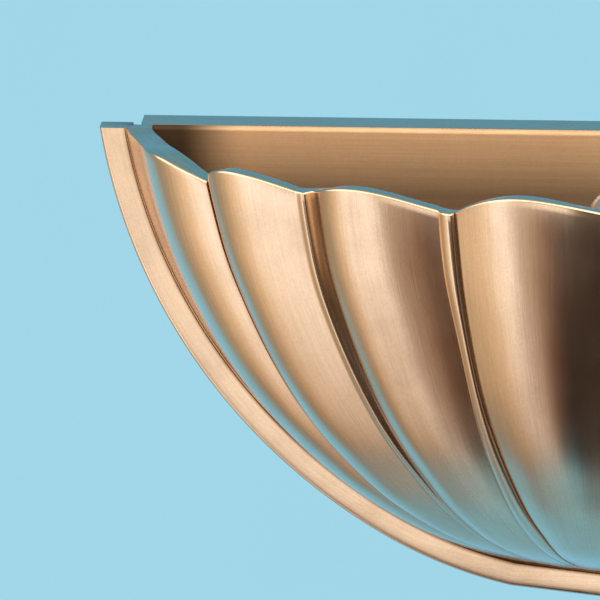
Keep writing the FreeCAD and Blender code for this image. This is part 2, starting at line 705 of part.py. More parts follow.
# ------------------------------------------------------------- lamp arm
# L-shaped arm on the pan's front: an upright leg and a shelf for the lampholder
ARM_Z = "dims.top_z + dims.holder_top - dims.holder_tall"      # top face of the shelf
arm_z = dim("top_z") + dim("holder_top") - dim("holder_tall")
arm = new_body("lampholder_arm")
sk = new_sketch(arm, "arm_side", "YZ_Plane", "-dims.arm_wide / 2")
import Sketcher
y0, y1 = -dim("pan_depth"), -dim("lamp_y") - 14.0
t = dim("arm_t")
pts = [(y0, arm_z - t), (y0, arm_z - t + dim("arm_leg")), (y0 - t, arm_z - t + dim("arm_leg")), (y0 - t, arm_z), (y1, arm_z), (y1, arm_z - t)]
gs = [sk.addGeometry(Part.LineSegment(Vector(pts[k][0], pts[k][1], 0), Vector(pts[(k + 1) % 6][0], pts[(k + 1) % 6][1], 0)), False) for k in range(6)]
for k in range(6):
    sk.addConstraint(Sketcher.Constraint("Coincident", gs[k], 2, gs[(k + 1) % 6], 1))
for k in (0, 2, 4):
    sk.addConstraint(Sketcher.Constraint("Vertical", gs[k]))
for k in (1, 3, 5):
    sk.addConstraint(Sketcher.Constraint("Horizontal", gs[k]))
bind(sk, Sketcher.Constraint("DistanceX", gs[0], 1, -1, 1, -y0), "dims.pan_depth")
bind(sk, Sketcher.Constraint("DistanceX", gs[4], 1, -1, 1, -y1), "dims.lamp_y + 14")
bind(sk, Sketcher.Constraint("DistanceY", gs[0], 1, gs[0], 2, dim("arm_leg")), "dims.arm_leg")
bind(sk, Sketcher.Constraint("DistanceX", gs[1], 2, gs[1], 1, t), "dims.arm_t")
bind(sk, Sketcher.Constraint("DistanceY", gs[4], 2, gs[4], 1, t), "dims.arm_t")
bind(sk, Sketcher.Constraint("DistanceY", gs[3], 1, -1, 1, -arm_z) if arm_z < 0 else Sketcher.Constraint("DistanceY", -1, 1, gs[3], 1, arm_z),
     "abs(%s)" % ARM_Z)
pad(arm, sk, "arm_blank", "dims.arm_wide")
sk = new_sketch(arm, "arm_leg_holes", "XZ_Plane")
for s in (-1, 1):
    circle(sk, s * 6.5, -4.0, 1.65)
pocket(arm, sk, "arm_leg_piercings", 30.0)
sk = new_sketch(arm, "arm_shelf_holes", "XY_Plane")
circle(sk, 0, -dim("lamp_y"), 4.2, None, None, "dims.lamp_y")
for s in (-1, 1):
    circle(sk, 0, -dim("lamp_y") + 7.5 * s, 1.65, None, None, "dims.lamp_y - %s" % (7.5 * s))
pocket(arm, sk, "arm_shelf_piercings")

# arm screws through the pan, with nuts behind it
ascrews, anuts = [], []
for s, tag in ((-1, "l"), (1, "r")):
    x = 6.5 * s
    head = cyl("as_head_" + tag, 2.9, 1.9, x, "-dims.pan_depth - dims.arm_t", -4.0, "-y")
    shank = cyl("as_shank_" + tag, 1.5, 6.4, x, "-dims.pan_depth - dims.arm_t - 0.5 + 6.4", -4.0, "-y")
    cross = fuse("as_cross_" + tag, [box("as_c1_" + tag, 3.2, 1.2, 0.7, x - 1.6, "-dims.pan_depth - dims.arm_t - 2.1", -4.35),
                                     box("as_c2_" + tag, 0.7, 1.2, 3.2, x - 0.35, "-dims.pan_depth - dims.arm_t - 2.1", -5.6)])
    ascrews.append(cut("arm_screw_" + tag, fuse("as_solid_" + tag, [head, shank]), cross))
    nut = prism("an_hex_" + tag, 6, 3.1, 2.2, x, "-dims.pan_depth + dims.sheet_t + 2.2", -4.0, "-y")
    anuts.append(cut("arm_nut_" + tag, nut, cyl("an_bore_" + tag, 1.5, 8.0, x, -5.0, -4.0, "-y")))
arm_screws = group("arm_screws", ascrews)
arm_nuts = group("arm_nuts", anuts)

# grommet for the lamp leads, below the lamp arm
wg = fuse("wg_solid", [cyl("wg_core", 5.0, "dims.sheet_t + 2.4", 0, "-dims.pan_depth + dims.sheet_t + 1.2", -34.0, "-y"),
                       cyl("wg_flange_a", 6.6, 1.2, 0, "-dims.pan_depth", -34.0, "-y"),
                       cyl("wg_flange_b", 6.6, 1.2, 0, "-dims.pan_depth + dims.sheet_t + 1.2", -34.0, "-y")])
lead_grommet = cut("lead_grommet", wg, cyl("wg_bore", 3.6, 12.0, 0, -6.0, -34.0, "-y"))

# ---------------------------------------------------------- lampholder
LY = "-dims.lamp_y"
HT = "dims.top_z + dims.holder_top"
HB = "dims.top_z + dims.holder_top - dims.holder_tall"
hold = cyl("lh_drum", "dims.holder_r", "dims.holder_tall", 0, LY, HB)
cuts = [box("lh_seat", 14.6, 7.4, 11.0, -7.3, "-dims.lamp_y - 3.7", HT + " - 10"),
        cyl("lh_wireway", 3.4, 12.0, 0, LY, HB + " - 1")]
for s, tag in ((-1, "l"), (1, "r")):
    cuts.append(box("lh_cell_" + tag, 4.4, 5.0, 9.0, s * 4.0 - 2.2, "-dims.lamp_y - 2.5", HT + " - 18.5"))
    cuts.append(cyl("lh_screwway_" + tag, 1.7, 40.0, s * 0.0 + 0.0, "-dims.lamp_y + %s" % (7.5 * s), HB + " - 5"))
    cuts.append(cyl("lh_sink_" + tag, 3.1, 3.0, 0.0, "-dims.lamp_y + %s" % (7.5 * s), HT + " - 2.4"))
lampholder = cut("lampholder_body", hold, fuse("lh_cuts", cuts))

# spring contacts in the holder's two cells
contacts = []
for s, tag in ((-1, "l"), (1, "r")):
    outer = box("ct_out_" + tag, 3.6, 3.6, 7.6, s * 4.0 - 1.8, "-dims.lamp_y - 1.8", HT + " - 18.2")
    inner = box("ct_in_" + tag, 5.0, 2.4, 8.0, s * 4.0 - 2.5, "-dims.lamp_y - 1.2", HT + " - 17.4")
    contacts.append(cut("contact_" + tag, outer, inner))
holder_contacts = group("lampholder_contacts", contacts)

# two long screws hold the lampholder on the shelf
hscrews, hnuts = [], []
for s, tag in ((-1, "b"), (1, "f")):
    y = "-dims.lamp_y + %s" % (7.5 * s)
    head = cyl("hs_head_" + tag, 2.8, 1.8, 0, y, HT + " - 2.4")
    shank = cyl("hs_shank_" + tag, 1.5, 27.2, 0, y, HB + " - 5.2")
    sl = box("hs_slot_" + tag, 7.0, 0.8, 1.2, -3.5, "-dims.lamp_y + %s" % (7.5 * s - 0.4), HT + " - 1.5")
    hscrews.append(cut("holder_screw_" + tag, fuse("hs_solid_" + tag, [head, shank]), sl))
    nut = prism("hn_hex_" + tag, 6, 3.1, 2.3, 0, y, HB + " - dims.arm_t - 2.3")
    hnuts.append(cut("holder_nut_" + tag, nut, cyl("hn_bore_" + tag, 1.5, 20.0, 0, y, HB + " - 12")))
holder_screws = group("holder_screws", hscrews)
holder_nuts = group("holder_nuts", hnuts)

# ---------------------------------------------------------------- lamp
LT = "dims.top_z + dims.lamp_top"
ball = doc.addObject("Part::Sphere", "lg_ball")
put(ball, "Radius", "dims.lamp_r")
place(ball, 0, LY, LT + " - dims.lamp_r")
ball2 = doc.addObject("Part::Sphere", "lg_ball_in")
put(ball2, "Radius", "dims.lamp_r - 0.9")
place(ball2, 0, LY, LT + " - dims.lamp_r")
lamp_glass = cut("lamp_glass", fuse("lg_solid", [cyl("lg_tube", "dims.lamp_r", 29.4, 0, LY, LT + " - dims.lamp_r - 29.4"), ball]),
                 fuse("lg_void", [cyl("lg_tube_in", "dims.lamp_r - 0.9", 40.0, 0, LY, LT + " - dims.lamp_r - 40"), ball2]))
# the base: a collar inside the tube and a flat tongue down into the holder
base = fuse("lamp_base", [cyl("lb_collar", "dims.lamp_r - 0.9", 4.0, 0, LY, LT + " - dims.lamp_r - 29.4"),
                          cyl("lb_flange", "dims.lamp_r + 0.4", 1.4, 0, LY, LT + " - dims.lamp_r - 30.8"),
                          box("lb_tongue", 13.6, 6.4, 9.4, -6.8, "-dims.lamp_y - 3.2", LT + " - dims.lamp_r - 30.8 - 8.8")])
pins = []
for s, tag in ((-1, "l"), (1, "r")):
    pins.append(fuse("pin_" + tag, [cyl("pin_a_" + tag, 0.9, 6.2, s * 4.0, LY, LT + " - dims.lamp_r - 30.8 - 8.8 - 6.2"),
                                    cone("pin_b_" + tag, 0.4, 0.9, 0.8, s * 4.0, LY, LT + " - dims.lamp_r - 30.8 - 8.8 - 7.0")]))
lamp_pins = group("lamp_pins", pins)
posts = []
for s, tag in ((-1, "l"), (1, "r")):
    posts.append(cyl("post_a_" + tag, 0.35, 10.0, s * 3.6, LY, LT + " - dims.lamp_r - 25.4"))
lamp_posts = group("filament_posts", posts)
lamp_filament = cyl("lamp_filament", 0.9, 8.0, -4.0, LY, LT + " - dims.lamp_r - 14.5", "x")

# ------------------------------------------------------ terminal block
BZ = "dims.block_z"
BY = "-dims.pan_depth + dims.sheet_t"
tb = box("tb_body", 27.0, 9.6, 15.0, -13.5, BY, BZ + " - 7.5")
tcuts = []
for k, tag in ((-1, "l"), (0, "c"), (1, "e")):
    x = 9.0 * k
    tcuts.append(cyl("tb_way_" + tag, 1.5, 20.0, x, BY + " + 4.2", BZ + " - 10"))
    tcuts.append(cyl("tb_port_t" + tag, 1.9, 5.0, x, BY + " + 4.8", BZ + " + 4.6", "y"))
    tcuts.append(cyl("tb_port_b" + tag, 1.9, 5.0, x, BY + " + 4.8", BZ + " - 4.6", "y"))
tcuts.append(cyl("tb_fix", 1.5, 30.0, 4.5, 2.0, BZ, "-y"))
terminal_block = cut("terminal_block", tb, fuse("tb_cuts", tcuts))
tscrews = []
for k, tag in ((-1, "l"), (0, "c"), (1, "e")):
    x = 9.0 * k
    for dz, u in ((4.6, "t"), (-4.6, "b")):
        c = cyl("ts_%s%s" % (tag, u), 1.7, 3.4, x, BY + " + 5.8", BZ + " + %s" % dz, "y")
        g = box("tg_%s%s" % (tag, u), 4.4, 0.8, 0.6, x - 2.2, BY + " + 8.6", BZ + " + %s" % (dz - 0.3))
        tscrews.append(cut("terminal_screw_%s%s" % (tag, u), c, g))
terminal_screws = group("terminal_screws", tscrews)

fx_head = cyl("fx_head", 2.8, 1.8, 4.5, "-dims.pan_depth", BZ, "-y")
fx_shank = cyl("fx_shank", 1.5, 9.6, 4.5, "-dims.pan_depth - 0.5 + 9.6", BZ, "-y")
fx_slot = box("fx_slot", 7.0, 1.2, 0.8, 1.0, "-dims.pan_depth - 1.9", BZ + " - 0.4")
block_screw = cut("block_screw", fuse("fx_solid", [fx_head, fx_shank]), fx_slot)

# ------------------------------------------------------- shell fixings
# threaded bushes in the pan, captive thumbscrews in the shell's lugs
LZ = "dims.top_z + dims.lug_z"
bushes, tw = [], []
thumbs, clips = {}, {}
for s, tag in ((-1, "left"), (1, "right")):
    x = "%sdims.lug_x" % ("-" if s < 0 else "")
    solid = fuse("bush_solid_" + tag, [cyl("bush_neck_" + tag, 3.2, "dims.sheet_t + 0.5", x, "-dims.pan_depth + dims.sheet_t + 0.5", LZ, "-y"),
                                       cyl("bush_body_" + tag, 4.6, 5.4, x, "-dims.pan_depth + dims.sheet_t + 5.4", LZ, "-y")])
    bushes.append(cut("bush_" + tag, solid, cyl("bush_bore_" + tag, "dims.thumb_r + 0.05", 20.0, x, 0, LZ, "-y")))
    tw.append(cut("thumb_washer_" + tag, cyl("tw_out_" + tag, 5.4, 0.8, x, "-dims.flange_front_y", LZ, "-y"),
                  cyl("tw_in_" + tag, "dims.thumb_r + 0.3", 6.0, x, "-dims.flange_front_y + 2", LZ, "-y")))
    head = cyl("th_head_" + tag, "dims.thumb_head", "dims.thumb_tall - 1.6", x, "-dims.flange_front_y - 1.9", LZ, "-y")
    foot = cone("th_foot_" + tag, "dims.thumb_head - 1.4", "dims.thumb_head", 0.8, x, "-dims.flange_front_y - 1.1", LZ, "-y")
    nose = cone("th_nose_" + tag, "dims.thumb_head", "dims.thumb_head - 0.8", 0.8, x, "-dims.flange_front_y - 1.9 - dims.thumb_tall + 1.6", LZ, "-y")
    shank = cyl("th_shank_" + tag, "dims.thumb_r", 13.2, x, "-dims.flange_front_y - 1.6 + 13.2", LZ, "-y")
    flat = box("th_slot_" + tag, 14.0, 1.4, 1.0, x + " - 7", "-dims.flange_front_y - 1.1 - dims.thumb_tall - 0.2", LZ + " - 0.5")
    t_obj = cut("thumbscrew_" + tag, fuse("th_solid_" + tag, [head, foot, nose, shank]), flat)
    thumbs[tag] = t_obj
    ring = cut("screw_clip_" + tag, cyl("sc_out_" + tag, 3.8, 0.8, x, "-dims.seat_y - 0.6", LZ, "-y"),
               fuse("sc_cuts_" + tag, [cyl("sc_in_" + tag, "dims.thumb_r", 6.0, x, "-dims.seat_y + 2", LZ, "-y"),
                                       box("sc_gap_" + tag, 2.4, 6.0, 6.0, x + " - 1.2", "-dims.seat_y - 4", LZ + " - 6")]))
    clips[tag] = ring
shell_bushes = group("shell_bushes", bushes)
thumb_washers = group("thumb_washers", tw)


# ------------------------------------------------------------- wiring
def rounded_path(points, radii):
    """Straight runs joined by tangent arcs."""
    edges = []
    start = points[0]
    for k in range(1, len(points) - 1):
        a, b, c = points[k - 1], points[k], points[k + 1]
        u = (a - b).normalize()
        v = (c - b).normalize()
        half = (math.pi - u.getAngle(v)) / 2.0
        cut_back = radii[k - 1] * math.tan(half)
        p, q = b + u * cut_back, b + v * cut_back
        bis = (u + v).normalize()
        mid = b + bis * (radii[k - 1] / math.cos(half) - radii[k - 1])
        if (p - start).Length > 1e-4:
            edges.append(Part.LineSegment(start, p).toShape())
        edges.append(Part.Arc(p, mid, q).toShape())
        start = q
    edges.append(Part.LineSegment(start, points[-1]).toShape())
    return Part.Wire(edges)


def tube(points, radii, r):
    path = rounded_path(points, radii)
    d = (points[1] - points[0]).normalize()
    prof = Part.Wire(Part.makeCircle(r, points[0], d))
    solid = path.makePipeShell([prof], True, False)
    want = math.pi * r * r * path.Length
    if abs(solid.Volume - want) > 0.02 * want:
        raise RuntimeError("tube volume %.1f is not %.1f" % (solid.Volume, want))
    print("tube radii", radii, "length %.1f" % path.Length)
    return solid


ly, py = -dim("lamp_y"), -dim("pan_depth") + dim("sheet_t") + 4.2
cr = dim("core_r")
zb = dim("block_z")
live_wire = feature("live_wire", tube([Vector(-1.6, ly, -16.9), Vector(-1.6, ly, -34), Vector(-1.6, py, -34), Vector(-9, py, -43), Vector(-9, py, zb + 1)],
                                      [9.0, 2.9, 4.0], cr))
neutral_wire = feature("neutral_wire", tube([Vector(1.6, ly, -16.9), Vector(1.6, ly, -34), Vector(1.6, py, -34), Vector(0, py, -43), Vector(0, py, zb + 1)],
                                            [9.0, 2.9, 6.0], cr))
earth_wire = feature("earth_wire", tube([Vector(dim("earth_x"), -dim("strap_t") - 1.8, -9.6), Vector(dim("earth_x"), -dim("strap_t") - 1.8, -22),
                                         Vector(9, py, -40), Vector(9, py, zb + 1)], [10.0, 10.0], cr))
sleeve_path = [Vector(0, ly, -24.2), Vector(0, ly, -34), Vector(0, -dim("pan_depth") - 2.6, -34)]
sleeve_out = tube(sleeve_path, [9.0], 3.4)
sleeve_in = tube([sleeve_path[0] + Vector(0, 0, 1), sleeve_path[1], sleeve_path[2] + Vector(0, 1, 0)], [9.0], 2.9)
lead_sleeve = feature("lead_sleeve", sleeve_out.cut(sleeve_in))

doc.recompute()

# --------------------------------------------------------------- nodes
NODES = {
    "wall_bracket": strap, "back_pan": pan, "pan_studs": pan_studs, "pan_washers": pan_washers,
    "pan_dome_nuts": pan_nuts, "cable_grommet": cable_grommet, "earth_screw": earth_screw, "earth_tag": earth_tag,
    "lampholder_arm": arm, "arm_screws": arm_screws, "arm_nuts": arm_nuts, "lead_grommet": lead_grommet,
    "lampholder_body": lampholder, "lampholder_contacts": holder_contacts, "lampholder_screws": holder_screws,
    "lampholder_nuts": holder_nuts, "terminal_block": terminal_block, "terminal_screws": terminal_screws,
    "block_screw": block_screw, "live_wire": live_wire, "neutral_wire": neutral_wire, "earth_wire": earth_wire,
    "lead_sleeve": lead_sleeve, "shell_bushes": shell_bushes,
    "shell_casting": shell, "thumb_washers": thumb_washers,
    "thumbscrew_left": thumbs["left"], "thumbscrew_right": thumbs["right"],
    "screw_clip_left": clips["left"], "screw_clip_right": clips["right"],
    "lamp_glass": lamp_glass, "lamp_base": base, "lamp_pins": lamp_pins,
    "filament_posts": lamp_posts, "lamp_filament": lamp_filament,
}
for name, obj in NODES.items():
    if obj.Label != name:
        for other in doc.Objects:
            if other is not obj and other.Label == name:
                other.Label = name + "_part"
        obj.Label = name
doc.recompute()

bad = [o.Name for o in doc.Objects if "Invalid" in o.State or "Error" in o.State]
if bad:
    raise RuntimeError("failed objects: %s" % bad)
for name, obj in NODES.items():
    if obj.Shape.isNull() or not obj.Shape.isValid() or not obj.Shape.Solids:
        raise RuntimeError("bad shape: " + name)

os.makedirs("parts", exist_ok=True)
for name, obj in NODES.items():
    obj.Shape.exportStep(os.path.join("parts", name + ".step"))
    b = obj.Shape.BoundBox
    print("%-20s solids %d vol %.0f  x %.1f..%.1f y %.1f..%.1f z %.1f..%.1f" % (
        name, len(obj.Shape.Solids), obj.Shape.Volume, b.XMin, b.XMax, b.YMin, b.YMax, b.ZMin, b.ZMax))
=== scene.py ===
import bpy
import bmesh
import math
import numpy as np
from mathutils import Matrix, Vector


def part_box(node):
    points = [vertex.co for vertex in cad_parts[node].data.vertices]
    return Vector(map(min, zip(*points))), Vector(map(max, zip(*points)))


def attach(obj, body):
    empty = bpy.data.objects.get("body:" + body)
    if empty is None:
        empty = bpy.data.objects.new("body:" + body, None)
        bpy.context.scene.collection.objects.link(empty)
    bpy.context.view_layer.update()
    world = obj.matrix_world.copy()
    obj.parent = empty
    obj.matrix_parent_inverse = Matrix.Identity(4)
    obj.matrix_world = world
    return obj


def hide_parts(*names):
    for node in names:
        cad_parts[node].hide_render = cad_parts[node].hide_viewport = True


# Shell wall sconce. Metres in the scene; the shell's own geometry is worked
# out in millimetres and scaled at the end. The wall is the plane y = 0, the
# light stands out towards -Y, +Z is up, and the flange's top is at z = 50 mm.
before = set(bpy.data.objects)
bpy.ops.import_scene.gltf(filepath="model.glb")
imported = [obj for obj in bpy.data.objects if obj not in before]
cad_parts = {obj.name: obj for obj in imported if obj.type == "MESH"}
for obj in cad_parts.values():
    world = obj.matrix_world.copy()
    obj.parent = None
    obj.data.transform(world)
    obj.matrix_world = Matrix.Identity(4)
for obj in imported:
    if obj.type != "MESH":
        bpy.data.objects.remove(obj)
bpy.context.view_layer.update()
TOP = 50.0
MM = 0.001


# ------------------------------------------------------------ shell geometry
# millimetres; x across, y from the flange's front plane, z from the flange top
R_LOW, Z_LOW, R_SIDE, X_SIDE, Z_SIDE = 130.72, -10.22, 173.72, 22.02, 26.71
POLE_Z = -129.7
Y_FLANGE = -17.0

# level curve of the outside at the rim, left half: lobe, crease, lobe and so on
LOBES = [
    [(-142.0, 0.0), (-138.4, -10.0), (-136.0, -20.0), (-133.2, -29.5), (-128.4, -37.0), (-122.4, -41.0), (-116.3, -43.0)],
    [(-115.4, -41.0), (-115.2, -45.5), (-114.5, -50.0), (-111.8, -54.4), (-107.4, -57.6), (-101.8, -59.7), (-95.4, -61.5), (-88.7, -63.2)],
    [(-84.3, -62.0), (-83.1, -65.2), (-81.3, -68.3), (-77.9, -71.2), (-72.5, -73.1), (-66.0, -74.8), (-59.5, -75.9), (-54.0, -76.5), (-48.9, -76.7)],
    [(-44.6, -78.6), (-39.7, -81.9), (-34.8, -84.5), (-24.5, -87.3), (-13.7, -88.1), (-8.2, -87.1), (-2.4, -85.6)],
]
# crown points of the creases between them: x, y
CREASES = [
    [(-115.9, -42.2)],
    [(-88.0, -63.9), (-87.1, -64.3), (-86.2, -63.8), (-85.1, -62.6)],
    [(-48.3, -78.3), (-47.0, -79.6), (-45.7, -80.0), (-44.8, -79.6)],
    [(-1.9, -86.9), (-1.0, -87.7), (0.0, -87.9)],
]
# height of the rim: start, end, swell in the middle, lean of the swell
RIM = [(0.0, -4.8, 3.0, 4.6), (-4.8, -2.1, 5.3, -2.2), (-2.1, -3.6, 3.9, -1.2), (-3.6, -1.5, 5.4, -1.5)]
# half width of the bowl at a depth, as a share of its half width at the rim
SHARE = [(4.0, 1.004), (0.0, 1.0), (-12.0, 0.9785), (-25.0, 0.9481), (-40.0, 0.899), (-55.0, 0.8416), (-70.0, 0.7740), (-82.0, 0.7055), (-93.0, 0.6273), (-102.0, 0.5542), (-110.0, 0.4716), (-117.0, 0.3856), (-122.5, 0.291), (-127.0, 0.1843), (-129.0, 0.1034)]
# departures from that share at the flange and at the four creases (left to right)
EXTRA_Z = [0.0, -20.0, -40.0, -60.0, -80.0, -100.0, -112.0, -122.0, -129.7]
EXTRA = [[0.0] * 9,
         [0.0, 0.0037, 0.0095, 0.0130, 0.0131, 0.0132, 0.0111, 0.0039, 0.0],
         [0.0, 0.0087, 0.0126, 0.0062, -0.0018, -0.0025, 0.0049, 0.0050, 0.0],
         [0.0, 0.0080, -0.0030, -0.0030, 0.0080, 0.0155, 0.0113, 0.0032, 0.0],
         [0.0, 0.0021, 0.0070, 0.0040, -0.0150, -0.0300, -0.0380, -0.0254, 0.0],
         [0.0] * 9]
KNOT_X = [-142.0, -115.6, -87.2, -48.9, -44.6, 0.0]


def outline_x(z, inset):
    """Half width of the flange outline at a height, moved in by inset."""
    r1, r2 = R_LOW - inset, R_SIDE - inset
    d = math.hypot(X_SIDE, Z_SIDE - Z_LOW)
    jz = Z_SIDE + (Z_LOW - Z_SIDE) / d * r2
    z = np.asarray(z, float)
    a = np.sqrt(np.maximum(r2 * r2 - (z - Z_SIDE) ** 2, 0)) - X_SIDE
    b = np.sqrt(np.maximum(r1 * r1 - (z - Z_LOW) ** 2, 0))
    return np.where(z >= jz, a, b)


def natural(x, y, q):
    """Natural cubic spline through (x, y) at q."""
    x, y, q = np.asarray(x, float), np.asarray(y, float), np.asarray(q, float)
    n = len(x)
    h = np.diff(x)
    A = np.zeros((n, n))
    r = np.zeros(n)
    A[0, 0] = A[-1, -1] = 1
    for i in range(1, n - 1):
        A[i, i - 1], A[i, i], A[i, i + 1] = h[i - 1], 2 * (h[i - 1] + h[i]), h[i]
        r[i] = 6 * ((y[i + 1] - y[i]) / h[i] - (y[i] - y[i - 1]) / h[i - 1])
    m = np.linalg.solve(A, r)
    i = np.clip(np.searchsorted(x, q) - 1, 0, n - 2)
    t, hi = q - x[i], h[i]
    return y[i] + t * ((y[i + 1] - y[i]) / hi - hi * (2 * m[i] + m[i + 1]) / 6) + t * t * m[i] / 2 + t ** 3 * (m[i + 1] - m[i]) / (6 * hi)


def through(points, n):
    """n points along a smooth curve through the given ones, evenly spaced."""
    p = np.array(points, float)
    s = np.r_[0, np.cumsum(np.hypot(*np.diff(p, axis=0).T))]
    if len(p) == 2:
        t = np.linspace(0, 1, n)[:, None]
        return p[0] * (1 - t) + p[1] * t
    q = np.linspace(0, s[-1], n)
    return np.stack([natural(s, p[:, 0], q), natural(s, p[:, 1], q)], -1)


def share(z):
    zs = np.array([p[0] for p in SHARE] + [POLE_Z])
    ks = np.array([p[1] for p in SHARE] + [0.0])
    s = np.sqrt(zs - POLE_Z)
    o = np.argsort(s)
    return natural(s[o], ks[o], np.sqrt(np.maximum(np.asarray(z, float) - POLE_Z, 0)))


def groove(z):
    """Width of the groove between the lobes and the flange."""
    return np.interp(z, [-129.7, -126, -120, -110, -90, -60, 0], [3.9, 2.6, 1.7, 1.2, 0.8, 0.55, 0.35])


def share_x(X, z):
    """Share for the x of a point that is at X on the rim curve (left half, X <= 0)."""
    X, z = np.broadcast_arrays(np.asarray(X, float), np.asarray(z, float))
    k = share(z)
    fl = (outline_x(z, 7.3) - groove(z)) / (outline_x(0.0, 7.3) - groove(0.0))
    e = [natural([-v for v in EXTRA_Z], row, np.clip(-z, -4.0, 129.7)) for row in EXTRA]
    e[0] = e[0] + (fl - k)
    out = np.zeros_like(k)
    for i in range(len(KNOT_X)):
        w = np.interp(X, KNOT_X, [1.0 if j == i else 0.0 for j in range(len(KNOT_X))])
        out = out + w * e[i]
    return k + out


def rim_curve(n_lobe=(56, 52, 52, 56), n_crease=10):
    """Left half of the rim: plan points, rim height, lobe number (or -1 in a crease)."""
    P, Z, L = [], [], []
    for i in range(4):
        c = through(LOBES[i], n_lobe[i])
        a, b, r, q = RIM[i]
        d = c[-1] - c[0]
        u = np.clip(((c - c[0]) @ d) / (d @ d), 0, 1)
        z = a + (b - a) * u + 4 * u * (1 - u) * (r + q * (2 * u - 1))
        P.append(c)
        Z.append(z)
        L.append(np.full(len(c), i))
        nxt = LOBES[i + 1][0] if i < 3 else None
        pts = [LOBES[i][-1]] + CREASES[i] + ([nxt] if nxt else [])
        c = through(pts, n_crease if i < 3 else n_crease // 2 + 2)
        c = c[1:-1] if i < 3 else c[1:]
        P.append(c)
        Z.append(np.full(len(c), b))
        L.append(np.full(len(c), -1))
    return np.vstack(P), np.concatenate(Z), np.concatenate(L)


def outer_point(X, Y, z):
    """Outside of the shell below the rim-curve point (X, Y) at height z."""
    return np.stack([X * share_x(X, z), Y_FLANGE + Y * share(z), np.broadcast_to(z, np.shape(X * share(z)))], -1)


# --------------------------------------------------------------- mesh helpers
def mesh_object(name, verts, faces, uvs=None, patina_and_shade=None, smooth=True, angle=40.0):
    """Mesh from millimetre points measured from the flange top; uvs are per face corner."""
    me = bpy.data.meshes.new(name)
    v = np.asarray(verts, float).copy()
    v[:, 2] += TOP
    me.from_pydata((v * MM).tolist(), [], faces)
    me.update()
    if uvs is not None:
        layer = me.uv_layers.new(name="brush")
        layer.data.foreach_set("uv", np.asarray(uvs, np.float32).ravel())
    # the shell's mix of patina and painted shade, kept as a point attribute
    if patina_and_shade is not None:
        a = me.attributes.new("patina_and_shade", "FLOAT", "POINT")
        a.data.foreach_set("value", np.asarray(patina_and_shade, np.float32))
    ob = bpy.data.objects.new(name, me)
    bpy.context.scene.collection.objects.link(ob)
    if smooth:
        smooth_by_angle(me, angle)
    return ob


def smooth_by_angle(me, angle):
    bm = bmesh.new()
    bm.from_mesh(me)
    lim = math.radians(angle)
    for f in bm.faces:
        f.smooth = True
    for e in bm.edges:
        e.smooth = len(e.link_faces) == 2 and e.calc_face_angle(0.0) < lim
    bm.to_mesh(me)
    bm.free()


def weld(ob, dist=2e-6):
    bm = bmesh.new()
    bm.from_mesh(ob.data)
    bmesh.ops.remove_doubles(bm, verts=bm.verts, dist=dist)
    bmesh.ops.dissolve_degenerate(bm, edges=bm.edges, dist=1e-7)
    bmesh.ops.recalc_face_normals(bm, faces=bm.faces)
    loose = [v for v in bm.verts if not v.link_faces]
    bmesh.ops.delete(bm, geom=loose, context="VERTS")
    bm.to_mesh(ob.data)
    bm.free()
    ob.data.update()


class Sheet:
    """Collects grids of points into one mesh, with brush coordinates and a value for patina and painted shade."""

    def __init__(self):
        self.v, self.f, self.uv, self.r, self.n = [], [], [], [], 0

    def grid(self, P, uv, rec, closed=False):
        """P is rows x columns x 3, uv rows x columns x 2 in metres, rec rows x columns."""
        rows, cols = P.shape[:2]
        base = self.n
        self.v.append(P.reshape(-1, 3))
        self.r.append(np.broadcast_to(rec, (rows, cols)).ravel())
        self.n += rows * cols
        for i in range(rows - 1):
            for j in range(cols - 1):
                a = base + i * cols + j
                self.f.append((a, a + 1, a + cols + 1, a + cols))
                self.uv += [uv[i, j], uv[i, j + 1], uv[i + 1, j + 1], uv[i + 1, j]]

    def fan(self, pts, rec=0.0):
        base = self.n
        pts = np.asarray(pts, float)
        self.v.append(pts)
        self.r.append(np.full(len(pts), rec))
        self.n += len(pts)
        self.f.append(tuple(range(base, base + len(pts))))
        self.uv += [(p[0] * MM, p[1] * MM) for p in pts]

    def make(self, name):
        return mesh_object(name, np.vstack(self.v), self.f, self.uv, np.concatenate(self.r), smooth=False)


# ------------------------------------------------------------- shell casting
def smooth_columns(a, width):
    """Moving average along the first axis, ends kept."""
    k = np.hanning(2 * width + 3)[1:-1]
    k /= k.sum()
    pad = np.concatenate([np.repeat(a[:1], width, 0), a, np.repeat(a[-1:], width, 0)])
    return np.stack([np.convolve(pad[:, c], k, "valid") for c in range(a.shape[1])], -1)


def ring_point(inset, tau):
    """Point of the left half of the flange outline: tau 0 at the top, 1 at the bottom centre."""
    r1, r2 = R_LOW - inset, R_SIDE - inset
    x0 = float(outline_x(0.0, inset))
    a0 = math.atan2(-Z_LOW, -x0)
    phi = a0 + tau * (1.5 * math.pi - a0)
    e = (math.cos(phi), math.sin(phi))
    d = math.hypot(X_SIDE, Z_SIDE - Z_LOW)
    jx, jz = X_SIDE - X_SIDE / d * r2, Z_SIDE + (Z_LOW - Z_SIDE) / d * r2
    aj = math.atan2(jz - Z_LOW, jx)
    aj = aj + 2 * math.pi if aj < 0 else aj
    if phi >= aj:
        return np.array([r1 * e[0], Z_LOW + r1 * e[1]])
    sx, sz = -X_SIDE, Z_LOW - Z_SIDE
    b = sx * e[0] + sz * e[1]
    c = sx * sx + sz * sz - r2 * r2
    r = -b + math.sqrt(b * b - c)
    return np.array([r * e[0], Z_LOW + r * e[1]])


def tau_of(x, z, inset):
    x0 = float(outline_x(0.0, inset))
    a0 = math.atan2(-Z_LOW, -x0)
    a = math.atan2(z - Z_LOW, x)
    a = a + 2 * math.pi if a < 0 else a
    return min(1.0, max(0.0, (a - a0) / (1.5 * math.pi - a0)))


WALL = [(0.0, 7.5), (26.0, 8.2), (46.0, 8.4), (56.0, 6.2), (70.0, 5.2), (100.0, 5.0), (140.0, 4.8), (190.0, 4.7)]
IN_POLE = -125.9
ROWS = 118


